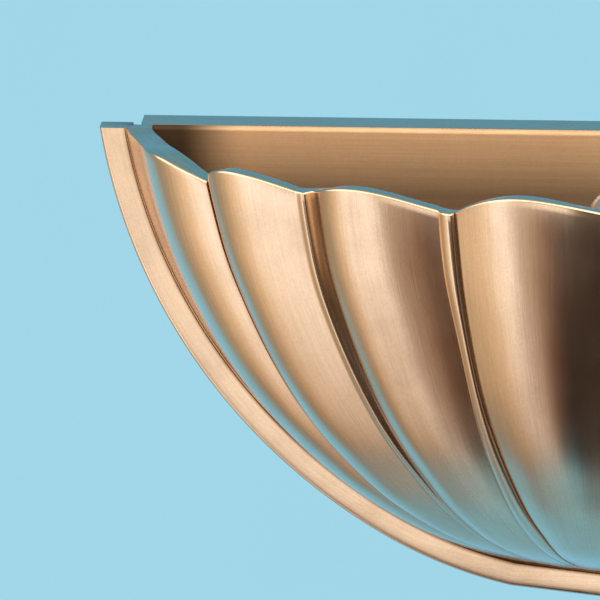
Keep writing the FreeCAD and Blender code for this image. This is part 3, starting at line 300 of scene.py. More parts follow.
def shell_casting():
    P, ZR, L = rim_curve()
    n = len(P)
    step = np.hypot(*np.diff(P, axis=0).T)
    S = np.r_[0, np.cumsum(step)]
    # smoothed outward normal of the rim curve
    uni = np.linspace(0, S[-1], 400)
    C = np.stack([np.interp(uni, S, P[:, 0]), np.interp(uni, S, P[:, 1])], -1)
    C = np.vstack([C, np.stack([-C[::-1, 0], C[::-1, 1]], -1)[1:]])
    Cs = smooth_columns(C, 16)
    T = np.gradient(Cs, axis=0)
    N = np.stack([T[:, 1], -T[:, 0]], -1)
    N /= np.hypot(N[:, 0], N[:, 1])[:, None]
    N = N[:400]
    N = np.stack([np.interp(S, uni, N[:, 0]), np.interp(S, uni, N[:, 1])], -1)
    w0 = np.clip(1 - S / 12.0, 0, 1)[:, None]
    N = N * (1 - w0) + np.array([-1.0, 0.0]) * w0
    N[-1] = (0, -1)
    N /= np.hypot(N[:, 0], N[:, 1])[:, None]
    thick = np.interp(S, [p[0] for p in WALL], [p[1] for p in WALL])
    thick[0] = -P[0, 0] - float(outline_x(0.0, 15.0))
    I = P - N * thick[:, None]
    I[0] = (-float(outline_x(0.0, 15.0)), 0.0)
    I[:, 1] = np.minimum(I[:, 1], 0.0)
    Ism = smooth_columns(np.vstack([I, np.stack([-I[::-1, 0], I[::-1, 1]], -1)[1:]]), 5)[:n]
    wi = np.clip(S / 20.0, 0, 1)[:, None]
    I = I * (1 - wi) + Ism * wi
    I[-1, 0] = 0.0

    # mirrored to the whole width
    full = lambda a, flip=True: np.vstack([a, np.stack([-a[-2::-1, 0], a[-2::-1, 1]], -1)])
    Pf, Nf, If = full(P), full(N), full(I)
    ZRf = np.concatenate([ZR, ZR[-2::-1]])
    Sf = np.concatenate([S, 2 * S[-1] - S[-2::-1]])
    Lf = np.concatenate([L, L[-2::-1]])
    m = len(Pf)
    # distance to the nearest valley line
    cuts = []
    for i in range(1, m):
        if (Lf[i] >= 0) != (Lf[i - 1] >= 0):
            cuts.append(Sf[i] if Lf[i] >= 0 else Sf[i - 1])
    cuts = np.array(cuts)
    dv = np.abs(Sf[:, None] - cuts[None]).min(1)

    t = np.linspace(0, 1, ROWS)
    f = 1 - (1 - t) ** 1.75
    Z = ZRf[None, :] + (POLE_Z - ZRf[None, :]) * f[:, None]

    def points(X, Y, Z, pole, inset, gap):
        zz = Z * (POLE_Z / pole)
        # the second crease is a valley at the rim and grows shallower lower down
        ax = np.abs(X)
        flat = 64.3 + (87.1 - ax) / 5.8 * 4.0
        fill = np.clip(-zz / 118.0, 0, 1)
        fill = 0.10 + 0.55 * fill * fill * (3 - 2 * fill)
        if pole == POLE_Z:
            Y = np.where((ax > 81.3) & (ax < 87.1), Y * (1 - fill) - np.maximum(flat, -Y) * fill, Y)
        k = share(zz)
        left = -np.abs(X)
        if pole == POLE_Z:
            kx = share_x(left, zz)
        else:
            fl = outline_x(Z, inset) / outline_x(0.0, inset)
            w = np.interp(left, [-134.4, -108.0], [1.0, 0.0])
            kx = k + (fl - k) * w
        return np.stack([X * kx, Y_FLANGE + Y * k, Z], -1)

    rad_o = 0.75 * np.clip(Sf / 4.0, 0, 1) * np.clip((Sf[-1] - Sf) / 4.0, 0, 1)
    rad_i = 0.55 * np.clip(Sf / 4.0, 0, 1) * np.clip((Sf[-1] - Sf) / 4.0, 0, 1)
    Xo = np.broadcast_to(Pf[:, 0], Z.shape)
    Yo = np.broadcast_to(Pf[:, 1], Z.shape)
    Zo = (ZRf - rad_o)[None, :] + (POLE_Z - (ZRf - rad_o)[None, :]) * f[:, None]
    O = points(Xo, Yo, Zo, POLE_Z, 7.3, 0)
    O[-1] = (0, Y_FLANGE, POLE_Z)
    sheet = Sheet()
    mer = np.concatenate([np.zeros((1, m)), np.cumsum(np.linalg.norm(np.diff(O, axis=0), axis=2), axis=0)])
    uv = np.stack([np.broadcast_to(Sf, mer.shape) * MM, mer * MM], -1)
    kk = np.clip(share(Zo), 0.05, 1)
    # patina and painted shade along the valleys between the lobes
    rec = 0.22 * np.exp(-((dv[None, :] * kk / 0.5) ** 2))
    # painted shade low down by the pole
    bottom_shade = np.clip((-Zo - 124.0) / 6.0, 0, 1)
    rec = np.maximum(rec, bottom_shade * 0.30)
    # patina and painted shade beside the flange
    edge = np.minimum(Sf, Sf[-1] - Sf)
    rec = np.maximum(rec, 0.25 * np.exp(-((edge[None, :] * kk / 0.6) ** 2)))
    sheet.grid(O, uv, rec)

    # rim strip: rounded outer edge, flat, rounded inner edge
    Zi0 = ZRf - rad_i
    inner_top = points(If[:, 0], If[:, 1], Zi0, IN_POLE, 15.0, 0)
    outer_top = O[0]
    dirn = inner_top[:, :2] - outer_top[:, :2]
    dist = np.hypot(dirn[:, 0], dirn[:, 1])
    dirn = dirn / dist[:, None]
    strip = []
    for a in np.linspace(0, math.pi / 2, 6):
        q = outer_top.copy()
        q[:, :2] += dirn * (rad_o * (1 - math.cos(a)))[:, None]
        q[:, 2] += rad_o * math.sin(a)
        strip.append(q)
    for a in np.linspace(math.pi / 2, 0, 5):
        q = inner_top.copy()
        q[:, :2] -= dirn * (rad_i * (1 - math.cos(a)))[:, None]
        q[:, 2] += rad_i * math.sin(a)
        strip.append(q)
    strip = np.array(strip)
    acr = np.concatenate([np.zeros((1, m)), np.cumsum(np.linalg.norm(np.diff(strip, axis=0), axis=2), axis=0)])
    uv = np.stack([acr * MM + 0.7, np.broadcast_to(Sf, acr.shape) * MM], -1)
    sheet.grid(strip[::-1], uv[::-1], 0.0)

    # inside
    Zi = Zi0[None, :] + (IN_POLE - Zi0[None, :]) * f[:, None]
    G = points(np.broadcast_to(If[:, 0], Zi.shape), np.broadcast_to(If[:, 1], Zi.shape), Zi, IN_POLE, 15.0, 0)
    G[-1] = (0, Y_FLANGE, IN_POLE)
    mer = np.concatenate([np.zeros((1, m)), np.cumsum(np.linalg.norm(np.diff(G, axis=0), axis=2), axis=0)])
    uv = np.stack([np.broadcast_to(Sf, mer.shape) * MM + 1.3, mer * MM], -1)
    # painted shade inside the bowl, darker the deeper it goes
    inside_shade = np.clip(-Zi / 90.0, 0, 1) * 0.55 + 0.15
    sheet.grid(G[::-1], uv[::-1], inside_shade)

    # flange: one cross-section for each row of the boundary meridian
    bo, bi = O[:, 0], G[:, 0]
    sections, recs = [], []
    for j in range(ROWS):
        B, Q = bo[j], bi[j]
        tau = tau_of(B[0], B[2], 7.3)
        if j == ROWS - 1:
            tau = 1.0
        g = 0.45 + 2.4 * float(np.clip((groove(B[2]) - 0.35) / 3.0, 0, 1))
        sec, rc = [], []

        def put(inset, y, r=0.0):
            p = ring_point(inset, tau)
            sec.append((p[0], y, p[1]))
            rc.append(r)

        # each point's last figure sets the dark mix: patina and painted shade in the groove, none on the front face,
        # and painted shade growing towards the back by the wall
        sec.append((B[0], Y_FLANGE, B[2])); rc.append(0.25)
        sec.append((B[0], Y_FLANGE + g * 0.5, B[2])); rc.append(0.35)
        sec.append((B[0], Y_FLANGE + g, B[2])); rc.append(0.35)
        put(7.35, Y_FLANGE + g, 0.35)
        put(7.3, Y_FLANGE + g * 0.5, 0.3)
        put(7.3, Y_FLANGE + 0.45, 0.25)
        for a in (30, 60, 90):
            put(7.3 - 0.45 * (1 - math.cos(math.radians(a))), Y_FLANGE + 0.45 - 0.45 * math.sin(math.radians(a)), 0.1)
        for u in (0.12, 0.25, 0.4, 0.55, 0.7, 0.85):
            put(6.85 - 5.75 * u, Y_FLANGE - 0.09 * 4 * u * (1 - u), 0.0)
        for a in (90, 72, 54, 36, 18, 0):
            put(1.1 * (1 - math.cos(math.radians(a))), Y_FLANGE + 1.1 - 1.1 * math.sin(math.radians(a)), 0.0)
        put(0.0, -13.0, 0.0)
        put(0.0, -10.0, 0.1)
        put(0.15, -9.65, 0.2)
        put(0.5, -9.5, 0.3)
        put(4.8, -9.5, 0.4)
        put(9.2, -9.5, 0.5)
        put(9.2, -11.0, 0.6)
        put(9.2, -12.5, 0.7)
        put(12.0, -12.5, 0.6)
        put(15.0, -12.5, 0.5)
        sec[-1] = (sec[-1][0] * 0.5 + Q[0] * 0.5, -12.5, sec[-1][2] * 0.5 + Q[2] * 0.5)
        sec.append((Q[0], -14.8, Q[2])); rc.append(0.5)
        sec.append((Q[0], Y_FLANGE, Q[2])); rc.append(0.4)
        sections.append(sec)
        recs.append(rc)
    sec = np.array(sections)
    recs = np.array(recs)
    right = sec[-2::-1].copy()
    right[:, :, 0] *= -1
    sec = np.concatenate([sec, right])
    recs = np.concatenate([recs, recs[-2::-1]])
    along = np.r_[0, np.cumsum(np.linalg.norm(np.diff(sec[:, 14], axis=0), axis=1))]
    acr = np.concatenate([np.zeros((len(sec), 1)), np.cumsum(np.linalg.norm(np.diff(sec, axis=1), axis=2), axis=1)], axis=1)
    uv = np.stack([acr * MM + 2.0, np.broadcast_to(along[:, None], acr.shape) * MM], -1)
    sheet.grid(sec, uv, recs)
    sheet.fan(sec[0][::-1], 0.0)
    sheet.fan(sec[-1], 0.0)

    # two lugs behind the flange, each with a counterbored hole for a thumbscrew
    for s in (-1, 1):
        lug(sheet, s)
    ob = sheet.make("shell_body")
    weld(ob)
    bm = bmesh.new()
    bm.from_mesh(ob.data)
    bmesh.ops.triangulate(bm, faces=[fc for fc in bm.faces if len(fc.verts) > 4])
    bm.to_mesh(ob.data)
    bm.free()
    smooth_by_angle(ob.data, 46.0)
    return ob


def lug(sheet, s):
    """D-shaped lug with a clearance hole, its round nose towards the centre line."""
    cx, cz, r = 107.0 * s, -56.0, 8.0
    out = []
    for a in np.linspace(-90, 90, 25):
        out.append((cx - s * r * math.cos(math.radians(a)), cz + r * math.sin(math.radians(a))))
    out.append((cx + s * 6.0, cz + r))
    for q in np.linspace(1, 0, 7)[1:-1]:
        out.append((cx + s * 11.0, cz - r + 2 * r * q))
    out.append((cx + s * 6.0, cz - r))
    out = np.array(out)
    n = len(out)
    ang = np.arctan2(out[:, 1] - cz, out[:, 0] - cx)
    c = np.array([cx, cz])
    circ = lambda rad: c + rad * np.stack([np.cos(ang), np.sin(ang)], -1)
    v = out - c
    shrink = lambda d: c + v * (1 - d / np.hypot(v[:, 0], v[:, 1]))[:, None]
    rings = [(circ(2.3), -15.2), (circ(2.3), -16.8), (circ(2.5), -17.0), (shrink(0.7), -17.0), (shrink(0.2), -16.8), (out, -16.4), (out, -12.9),
             (shrink(0.3), -12.5), (circ(4.9), -12.5), (circ(4.6), -12.7), (circ(4.6), -14.3), (circ(2.3), -14.3), (circ(2.3), -15.2)]
    P = np.array([[(p[0], y, p[1]) for p in list(ring) + [ring[0]]] for ring, y in rings])
    acr = np.concatenate([np.zeros((1, n + 1)), np.cumsum(np.linalg.norm(np.diff(P, axis=0), axis=2), axis=0)])
    al = np.concatenate([np.zeros((len(P), 1)), np.cumsum(np.linalg.norm(np.diff(P, axis=1), axis=2), axis=1)], axis=1)
    uv = np.stack([acr * MM + 3.0, al * MM], -1)
    # the lugs get painted shade, for they sit behind the flange
    sheet.grid(P, uv, 0.35)


# ------------------------------------------------------------------ materials
def new_material(name):
    m = bpy.data.materials.new(name)
    m.use_nodes = True
    nt = m.node_tree
    nt.nodes.clear()
    out = nt.nodes.new("ShaderNodeOutputMaterial")
    b = nt.nodes.new("ShaderNodeBsdfPrincipled")
    nt.links.new(b.outputs[0], out.inputs[0])
    return m, nt, b


def node(nt, kind, **props):
    n = nt.nodes.new(kind)
    for k, v in props.items():
        setattr(n, k, v)
    return n


def noise(nt, vec, scale, detail=2.0, rough=0.5):
    n = node(nt, "ShaderNodeTexNoise")
    n.inputs["Scale"].default_value = scale
    n.inputs["Detail"].default_value = detail
    n.inputs["Roughness"].default_value = rough
    nt.links.new(vec, n.inputs["Vector"])
    return n.outputs["Fac"]


def scaled(nt, vec, s):
    n = node(nt, "ShaderNodeMapping")
    n.inputs["Scale"].default_value = s
    nt.links.new(vec, n.inputs["Vector"])
    return n.outputs[0]


def math2(nt, op, a, b=None, clamp=False):
    n = node(nt, "ShaderNodeMath", operation=op, use_clamp=clamp)
    for i, x in enumerate((a, b)):
        if x is None:
            continue
        if isinstance(x, (int, float)):
            n.inputs[i].default_value = x
        else:
            nt.links.new(x, n.inputs[i])
    return n.outputs[0]


def rng(nt, x, a, b, c, d, smooth=False):
    n = node(nt, "ShaderNodeMapRange", interpolation_type="SMOOTHSTEP" if smooth else "LINEAR")
    nt.links.new(x, n.inputs[0])
    for i, v in enumerate((a, b, c, d)):
        n.inputs[i + 1].default_value = v
    return n.outputs[0]


def mix(nt, fac, a, b, kind="MIX"):
    n = node(nt, "ShaderNodeMix", data_type="RGBA", blend_type=kind)
    for sock, x in ((n.inputs[0], fac), (n.inputs[6], a), (n.inputs[7], b)):
        if isinstance(x, (int, float)):
            sock.default_value = x
        elif isinstance(x, tuple):
            sock.default_value = (*x, 1.0)
        else:
            nt.links.new(x, sock)
    return n.outputs[2]


def bump(nt, b, height, strength, distance):
    n = node(nt, "ShaderNodeBump")
    n.inputs["Strength"].default_value = strength
    n.inputs["Distance"].default_value = distance
    nt.links.new(height, n.inputs["Height"])
    nt.links.new(n.outputs[0], b.inputs["Normal"])
    return n


def brushed_brass(name, vec_kind, bright, dark, rough, streak=(4200.0, 60.0, 1.0), patina_and_shade=True, aniso=0.0, tone=0.5, axis=None):
    """Satin brass with fine streaks, a broad faint mottle and a dark mix taken from the mesh value, partly patina in
    the recesses and partly painted shade.
    """
    m, nt, b = new_material(name)
    if vec_kind == "uv":
        src = node(nt, "ShaderNodeUVMap", uv_map="brush").outputs[0]
    else:
        src = node(nt, "ShaderNodeTexCoord").outputs["Object"]
    obj = node(nt, "ShaderNodeTexCoord").outputs["Object"]
    fine = noise(nt, scaled(nt, src, streak), 1.0, 2.0, 0.6)
    wide = noise(nt, scaled(nt, src, tuple(x * k for x, k in zip(streak, (0.27, 0.5, 0.6)))), 1.0, 2.0, 0.55)
    mottle = noise(nt, obj, 42.0, 4.0, 0.62)
    cloud = noise(nt, obj, 11.0, 2.0, 0.5)
    # colour
    grain = noise(nt, obj, 1500.0, 3.0, 0.6)
    f = math2(nt, "ADD", math2(nt, "MULTIPLY", rng(nt, fine, 0.36, 0.66, 0.0, 1.0), 0.26 * tone),
              math2(nt, "MULTIPLY", rng(nt, wide, 0.38, 0.66, 0.0, 1.0), 0.20 * tone))
    f = math2(nt, "ADD", f, math2(nt, "MULTIPLY", rng(nt, grain, 0.36, 0.66, 0.0, 1.0), 0.22 * tone))
    f = math2(nt, "ADD", f, math2(nt, "MULTIPLY", rng(nt, mottle, 0.42, 0.72, 0.0, 1.0, True), 0.26 * tone))
    f = math2(nt, "ADD", f, math2(nt, "MULTIPLY", rng(nt, cloud, 0.4, 0.7, 0.0, 1.0, True), 0.14 * tone), clamp=True)
    col = mix(nt, f, bright, dark)
    ro = rng(nt, mottle, 0.3, 0.7, rough - 0.02, rough + 0.05)
    # patina and painted shade: the mesh value darkens the colour and roughens it
    if patina_and_shade:
        at = node(nt, "ShaderNodeAttribute", attribute_name="patina_and_shade").outputs["Fac"]
        r = math2(nt, "MULTIPLY", at, rng(nt, mottle, 0.3, 0.65, 0.72, 1.0), clamp=True)
        col = mix(nt, r, col, (0.055, 0.032, 0.020))
        ro = math2(nt, "ADD", ro, math2(nt, "MULTIPLY", r, 0.22))
    nt.links.new(col, b.inputs["Base Color"])
    nt.links.new(ro, b.inputs["Roughness"])
    b.inputs["Metallic"].default_value = 1.0
    if aniso:
        b.inputs["Anisotropic"].default_value = aniso
        if axis:
            tg = node(nt, "ShaderNodeTangent", direction_type="RADIAL", axis=axis)
        else:
            tg = node(nt, "ShaderNodeTangent", direction_type="UV_MAP", uv_map="brush")
        nt.links.new(tg.outputs[0], b.inputs["Tangent"])
    h = math2(nt, "ADD", math2(nt, "MULTIPLY", fine, 0.6), math2(nt, "MULTIPLY", wide, 0.35))
    h = math2(nt, "ADD", h, math2(nt, "MULTIPLY", grain, 0.35))
    bump(nt, b, h, 0.16, 0.00005)
    return m


def plated(name, colour, rough, scale=900.0, metallic=1.0):
    m, nt, b = new_material(name)
    obj = node(nt, "ShaderNodeTexCoord").outputs["Object"]
    g = noise(nt, scaled(nt, obj, (1.0, 0.25, 1.0)), scale, 3.0)
    c = noise(nt, obj, 120.0, 3.0)
    dark = tuple(x * 0.72 for x in colour)
    nt.links.new(mix(nt, rng(nt, c, 0.42, 0.7, 0.0, 0.7, True), colour, dark), b.inputs["Base Color"])
    nt.links.new(rng(nt, g, 0.3, 0.7, rough - 0.05, rough + 0.09), b.inputs["Roughness"])
    b.inputs["Metallic"].default_value = metallic
    bump(nt, b, g, 0.12, 0.00004)
    return m


def plastic(name, colour, rough, scale=1500.0, spec=0.5, strength=0.08, sss=0.0):
    m, nt, b = new_material(name)
    obj = node(nt, "ShaderNodeTexCoord").outputs["Object"]
    g = noise(nt, obj, scale, 3.0)
    c = noise(nt, obj, 70.0, 3.0)
    nt.links.new(mix(nt, rng(nt, c, 0.4, 0.72, 0.0, 0.6, True), colour, tuple(x * 0.8 for x in colour)), b.inputs["Base Color"])
    nt.links.new(rng(nt, g, 0.3, 0.7, rough - 0.06, rough + 0.08), b.inputs["Roughness"])
    b.inputs["Specular IOR Level"].default_value = spec
    bump(nt, b, g, strength, 0.00008)
    return m


def clear_glass(name):
    m, nt, b = new_material(name)
    obj = node(nt, "ShaderNodeTexCoord").outputs["Object"]
    g = noise(nt, obj, 160.0, 2.0)
    b.inputs["Base Color"].default_value = (1.0, 1.0, 1.0, 1.0)
    nt.links.new(rng(nt, g, 0.35, 0.7, 0.004, 0.02), b.inputs["Roughness"])
    b.inputs["Transmission Weight"].default_value = 1.0
    b.inputs["IOR"].default_value = 1.47
    return m


BRASS = (0.82, 0.58, 0.365)
DEEP = (0.40, 0.235, 0.125)
M_SHELL = brushed_brass("antique_brass_brushed", "uv", BRASS, DEEP, 0.215)
M_PAN = brushed_brass("brass_pan_brushed", "object", (0.90, 0.585, 0.32), (0.52, 0.30, 0.15), 0.46, streak=(34.0, 60.0, 2400.0), patina_and_shade=False, aniso=0.80, tone=0.55, axis="X")
M_PANTOP = brushed_brass("brass_pan_edge", "object", (0.80, 0.57, 0.36), (0.42, 0.26, 0.15), 0.24, streak=(34.0, 2400.0, 60.0), patina_and_shade=False, tone=0.5)
# painted shade on the pan: darker towards the bottom and in its two upper corners, where the shell shades it
nt = M_PAN.node_tree
b = [n for n in nt.nodes if n.type == "BSDF_PRINCIPLED"][0]
cur = b.inputs["Base Color"].links[0].from_socket
sp = node(nt, "ShaderNodeSeparateXYZ")
nt.links.new(node(nt, "ShaderNodeTexCoord").outputs["Object"], sp.inputs[0])
shade_low_down = rng(nt, sp.outputs[2], 0.030, 0.047, 0.33, 1.0)
shade_in_corners = rng(nt, math2(nt, "ABSOLUTE", sp.outputs[0]), 0.106, 0.127, 1.0, 0.10, True)
# the two painted shades together multiply the pan's colour
pan_shade = math2(nt, "MULTIPLY", shade_low_down, shade_in_corners)
cc = node(nt, "ShaderNodeCombineXYZ")
for i in range(3):
    nt.links.new(pan_shade, cc.inputs[i])
nt.links.new(mix(nt, 1.0, cur, cc.outputs[0], "MULTIPLY"), b.inputs["Base Color"])
M_FIX = brushed_brass("brass_fixing_turned", "object", (0.82, 0.60, 0.38), (0.42, 0.25, 0.14), 0.24, streak=(700.0, 700.0, 700.0), patina_and_shade=False, tone=0.5)
M_STEEL = plated("plated_steel_satin", (0.62, 0.62, 0.60), 0.34)
M_STAIN = plated("stainless_steel_turned", (0.66, 0.65, 0.63), 0.26)
M_TIN = plated("tinned_copper", (0.76, 0.75, 0.72), 0.30)
M_TUNG = plated("filament_wire_grey", (0.45, 0.43, 0.41), 0.36)
M_RUB = plastic("grommet_rubber_black", (0.022, 0.022, 0.022), 0.62, spec=0.35, strength=0.15)
M_CER = plastic("holder_ceramic_white", (0.74, 0.73, 0.69), 0.38, scale=900.0, strength=0.06)
M_BASE = plastic("lamp_ceramic_grey", (0.60, 0.59, 0.56), 0.55, scale=1300.0, strength=0.12)
M_BLOCK = plastic("block_plastic_ivory", (0.72, 0.69, 0.60), 0.42)
M_LIVE = plastic("insulation_brown", (0.16, 0.065, 0.03), 0.42)
M_NEUT = plastic("insulation_blue", (0.03, 0.12, 0.42), 0.42)
M_EARTH = plastic("insulation_green_yellow", (0.12, 0.38, 0.06), 0.42)
M_SLEEVE = plastic("heat_sleeve_woven", (0.78, 0.75, 0.66), 0.72, scale=2600.0, spec=0.25, strength=0.35)
M_GLASS = clear_glass("lamp_glass_clear")

# the earth core's yellow stripes run along the wire
nt = M_EARTH.node_tree
b = nt.nodes["Principled BSDF"] if "Principled BSDF" in nt.nodes else [n for n in nt.nodes if n.type == "BSDF_PRINCIPLED"][0]
oc = node(nt, "ShaderNodeTexCoord").outputs["Object"]
sx = node(nt, "ShaderNodeSeparateXYZ")
nt.links.new(oc, sx.inputs[0])
wv = node(nt, "ShaderNodeMath", operation="SINE")
nt.links.new(math2(nt, "MULTIPLY", math2(nt, "ADD", sx.outputs[0], sx.outputs[1]), 2600.0), wv.inputs[0])
nt.links.new(mix(nt, rng(nt, wv.outputs[0], -0.1, 0.1, 0.0, 1.0), (0.10, 0.34, 0.05), (0.80, 0.62, 0.04)), b.inputs["Base Color"])

PAINT = {
    "back_pan": M_PAN, "pan_dome_nuts": M_FIX, "pan_washers": M_FIX, "thumb_washers": M_FIX, "thumbscrew_left": M_FIX,
    "thumbscrew_right": M_FIX, "shell_bushes": M_FIX, "earth_screw": M_FIX,
    "wall_bracket": M_STEEL, "pan_studs": M_STEEL, "arm_screws": M_STEEL, "arm_nuts": M_STEEL, "lampholder_arm": M_STEEL,
    "lampholder_screws": M_STEEL, "lampholder_nuts": M_STEEL, "block_screw": M_STEEL,
    "screw_clip_left": M_STAIN, "screw_clip_right": M_STAIN, "terminal_screws": M_STAIN,
    "cable_grommet": M_RUB, "lead_grommet": M_RUB, "lampholder_body": M_CER, "lamp_base": M_BASE, "lamp_glass": M_GLASS,
    "earth_tag": M_TIN, "lampholder_contacts": M_TIN, "lamp_pins": M_TIN, "filament_posts": M_TUNG, "lamp_filament": M_TUNG,
    "terminal_block": M_BLOCK, "live_wire": M_LIVE, "neutral_wire": M_NEUT, "earth_wire": M_EARTH, "lead_sleeve": M_SLEEVE,
    "shell_casting": M_SHELL,
}
for name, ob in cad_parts.items():
    ob.data.materials.clear()
    ob.data.materials.append(PAINT[name])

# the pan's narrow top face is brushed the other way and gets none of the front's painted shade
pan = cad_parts["back_pan"].data
pan.materials.append(M_PANTOP)
for poly in pan.polygons:
    if poly.normal.z > 0.9:
        poly.material_index = 1

# --------------------------------------------------------------------- shell
shell = shell_casting()
shell.data.materials.append(M_SHELL)
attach(shell, "shell")
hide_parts("shell_casting")


# ---------------------------------------------------------------- thumbscrews
def knurl(name, cx, cz, y_back, y_front, r):
    """Ring of straight knurls round a thumbscrew's head."""
    teeth, per = 32, 6
    ang = np.linspace(0, 2 * math.pi, teeth * per + 1)
    saw = 0.5 - 0.5 * np.cos(ang * teeth)
    prof = [(r - 0.8, y_back), (r + 0.02, y_back - 0.1), (r + 0.22, y_back - 0.45), (r + 0.22, y_front + 0.45), (r + 0.02, y_front + 0.1), (r - 0.8, y_front)]
    P = []
    for rr, y in prof:
        a = rr + (saw - 1) * (0.34 if rr > r - 0.5 else 0.0)
        P.append(np.stack([cx + a * np.cos(ang), np.full(len(ang), y), cz + a * np.sin(ang)], -1))
    P = np.array(P + [P[0]])
    sh = Sheet()
    uv = np.stack(np.meshgrid(np.linspace(0, 0.038, len(ang)), np.linspace(0, 0.01, len(P))), -1)
    sh.grid(P, uv, 0.0)
    ob = sh.make(name)
    weld(ob)
    smooth_by_angle(ob.data, 35.0)
    ob.data.materials.append(M_FIX)
    return ob


for s, tag in ((-1, "left"), (1, "right")):
    k = knurl("thumb_knurl_" + tag, 107.0 * s, -56.0, -19.2, -23.2, 4.4)
    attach(k, "thumb_" + tag)


# ------------------------------------------------------------------- filament
def wire_coil(name, x0, x1, cy, cz, coil_r, wire_r, turns):
    """Helical coil along X between two posts."""
    n = turns * 14
    path = []
    for i in range(n + 1):
        t = i / n
        a = 2 * math.pi * turns * t
        e = min(1.0, min(t, 1 - t) * 12)
        path.append((x0 + (x1 - x0) * t, cy + coil_r * e * math.cos(a), cz + coil_r * e * math.sin(a)))
    path = np.array(path)
    T = np.gradient(path, axis=0)
    T /= np.linalg.norm(T, axis=1)[:, None]
    up = np.array([1.0, 0.0, 0.0])
    rings = []
    for p, t in zip(path, T):
        a = np.cross(t, up)
        a /= max(np.linalg.norm(a), 1e-9)
        b2 = np.cross(t, a)
        rings.append([p + wire_r * (math.cos(q) * a + math.sin(q) * b2) for q in np.linspace(0, 2 * math.pi, 9)])
    P = np.array(rings)
    P[:, -1] = P[:, 0]
    sh = Sheet()
    uv = np.zeros(P.shape[:2] + (2,))
    sh.grid(P, uv, 0.0)
    sh.fan(P[0][:-1])
    sh.fan(P[-1][:-1][::-1])
    ob = sh.make(name)
    weld(ob)
    smooth_by_angle(ob.data, 60.0)
    ob.data.materials.append(M_TUNG)
    return ob


lo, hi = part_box("lamp_filament")
fil = wire_coil("filament_coil", lo.x / MM, hi.x / MM, (lo.y + hi.y) / 2 / MM, (lo.z + hi.z) / 2 / MM - TOP, 0.72, 0.16, 11)
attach(fil, "lamp")
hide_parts("lamp_filament")


# ---------------------------------------------------------------------- stage
def stage_material(name, colour, emit=0.0):
    m, nt, b = new_material(name)
    obj = node(nt, "ShaderNodeTexCoord").outputs["Object"]
    g = noise(nt, obj, 2.5, 2.0)
    c = mix(nt, rng(nt, g, 0.3, 0.7, 0.0, 1.0, True), colour, tuple(x * 0.985 for x in colour))
    nt.links.new(c, b.inputs["Base Color"])
    b.inputs["Roughness"].default_value = 0.9
    if emit:
        nt.links.new(c, b.inputs["Emission Color"])
        b.inputs["Emission Strength"].default_value = emit
        b.inputs["Base Color"].default_value = (0, 0, 0, 1)
        for l in list(b.inputs["Base Color"].links):
            nt.links.remove(l)
        b.inputs["Specular IOR Level"].default_value = 0.0
    return m


def dome(name, radius, mat):
    me = bpy.data.meshes.new(name)
    bm = bmesh.new()
    bmesh.ops.create_uvsphere(bm, u_segments=64, v_segments=32, radius=radius)
    for f in bm.faces:
        f.normal_flip()
        f.smooth = True
    bm.to_mesh(me)
    bm.free()
    ob = bpy.data.objects.new(name, me)
    bpy.context.scene.collection.objects.link(ob)
    me.materials.append(mat)
    return ob


def disc(name, radius, z, mat):
    me = bpy.data.meshes.new(name)
    bm = bmesh.new()
    bmesh.ops.create_circle(bm, cap_ends=True, segments=96, radius=radius)
    for v in bm.verts:
        v.co.z = z
    bm.to_mesh(me)
    bm.free()
    ob = bpy.data.objects.new(name, me)
    bpy.context.scene.collection.objects.link(ob)
    me.materials.append(mat)
    return ob


WALL_BLUE = (0.362, 0.680, 0.820)
backdrop = dome("studio_backdrop", 7.0, stage_material("backdrop_pale_blue", WALL_BLUE, 1.0))
floor = disc("studio_floor", 5.9, -3.7, stage_material("floor_pale", (0.60, 0.72, 0.78), 1.0))
for o in (backdrop, floor):
    o.visible_glossy = False
    o.visible_diffuse = False
    o.visible_shadow = False

# ---------------------------------------------------------------------- world
world = bpy.data.worlds.new("studio")
bpy.context.scene.world = world
world.use_nodes = True
nt = world.node_tree
nt.nodes.clear()
wout = nt.nodes.new("ShaderNodeOutputWorld")
bg = nt.nodes.new("ShaderNodeBackground")
nt.links.new(bg.outputs[0], wout.inputs[0])
tc = nt.nodes.new("ShaderNodeTexCoord")
sep = nt.nodes.new("ShaderNodeSeparateXYZ")
nt.links.new(tc.outputs["Generated"], sep.inputs[0])
dx, dy, dz = sep.outputs
az = math2(nt, "MULTIPLY", math2(nt, "ARCTAN2", dx, math2(nt, "MULTIPLY", dy, -1.0)), 180 / math.pi)   # 0 in front, negative to the left
el = math2(nt, "MULTIPLY", math2(nt, "ARCSINE", dz), 180 / math.pi)


def window(x, a, b, c, d):
    """Smooth window: rises from a to b, falls from c to d."""
    return math2(nt, "MULTIPLY", rng(nt, x, a, b, 0.0, 1.0, True), rng(nt, x, c, d, 1.0, 0.0, True))


def ramp(x, lo, hi, stops):
    r = nt.nodes.new("ShaderNodeValToRGB")
    r.color_ramp.interpolation = "EASE"
    nt.links.new(rng(nt, x, lo, hi, 0.0, 1.0), r.inputs[0])
    e = r.color_ramp.elements
    while len(e) > 1:
        e.remove(e[-1])
    for i, (p, c) in enumerate(stops):
        q = (p - lo) / (hi - lo)
        if i == 0:
            e[0].position = q
            e[0].color = (*c, 1.0)
        else:
            s = e.new(q)
            s.color = (*c, 1.0)
    return r.outputs[0]


# studio in front of the wall, by direction round the object
front = ramp(az, -180.0, 180.0, [
    (-170.0, (0.40, 0.42, 0.42)), (-112.0, (0.42, 0.41, 0.35)), (-90.0, (0.62, 0.55, 0.45)), (-68.0, (0.98, 0.85, 0.70)), (-50.0, (1.28, 1.22, 1.18)),
    (-41.0, (1.58, 1.70, 1.98)), (-31.0, (1.60, 1.74, 2.05)), (-25.5, (0.50, 0.34, 0.24)), (-16.0, (0.24, 0.145, 0.10)), (-6.0, (0.13, 0.075, 0.058)),
    (6.0, (0.060, 0.042, 0.038)), (38.0, (0.045, 0.036, 0.034)), (75.0, (0.36, 0.35, 0.34)), (120.0, (0.62, 0.62, 0.62)), (170.0, (0.4, 0.45, 0.5))])
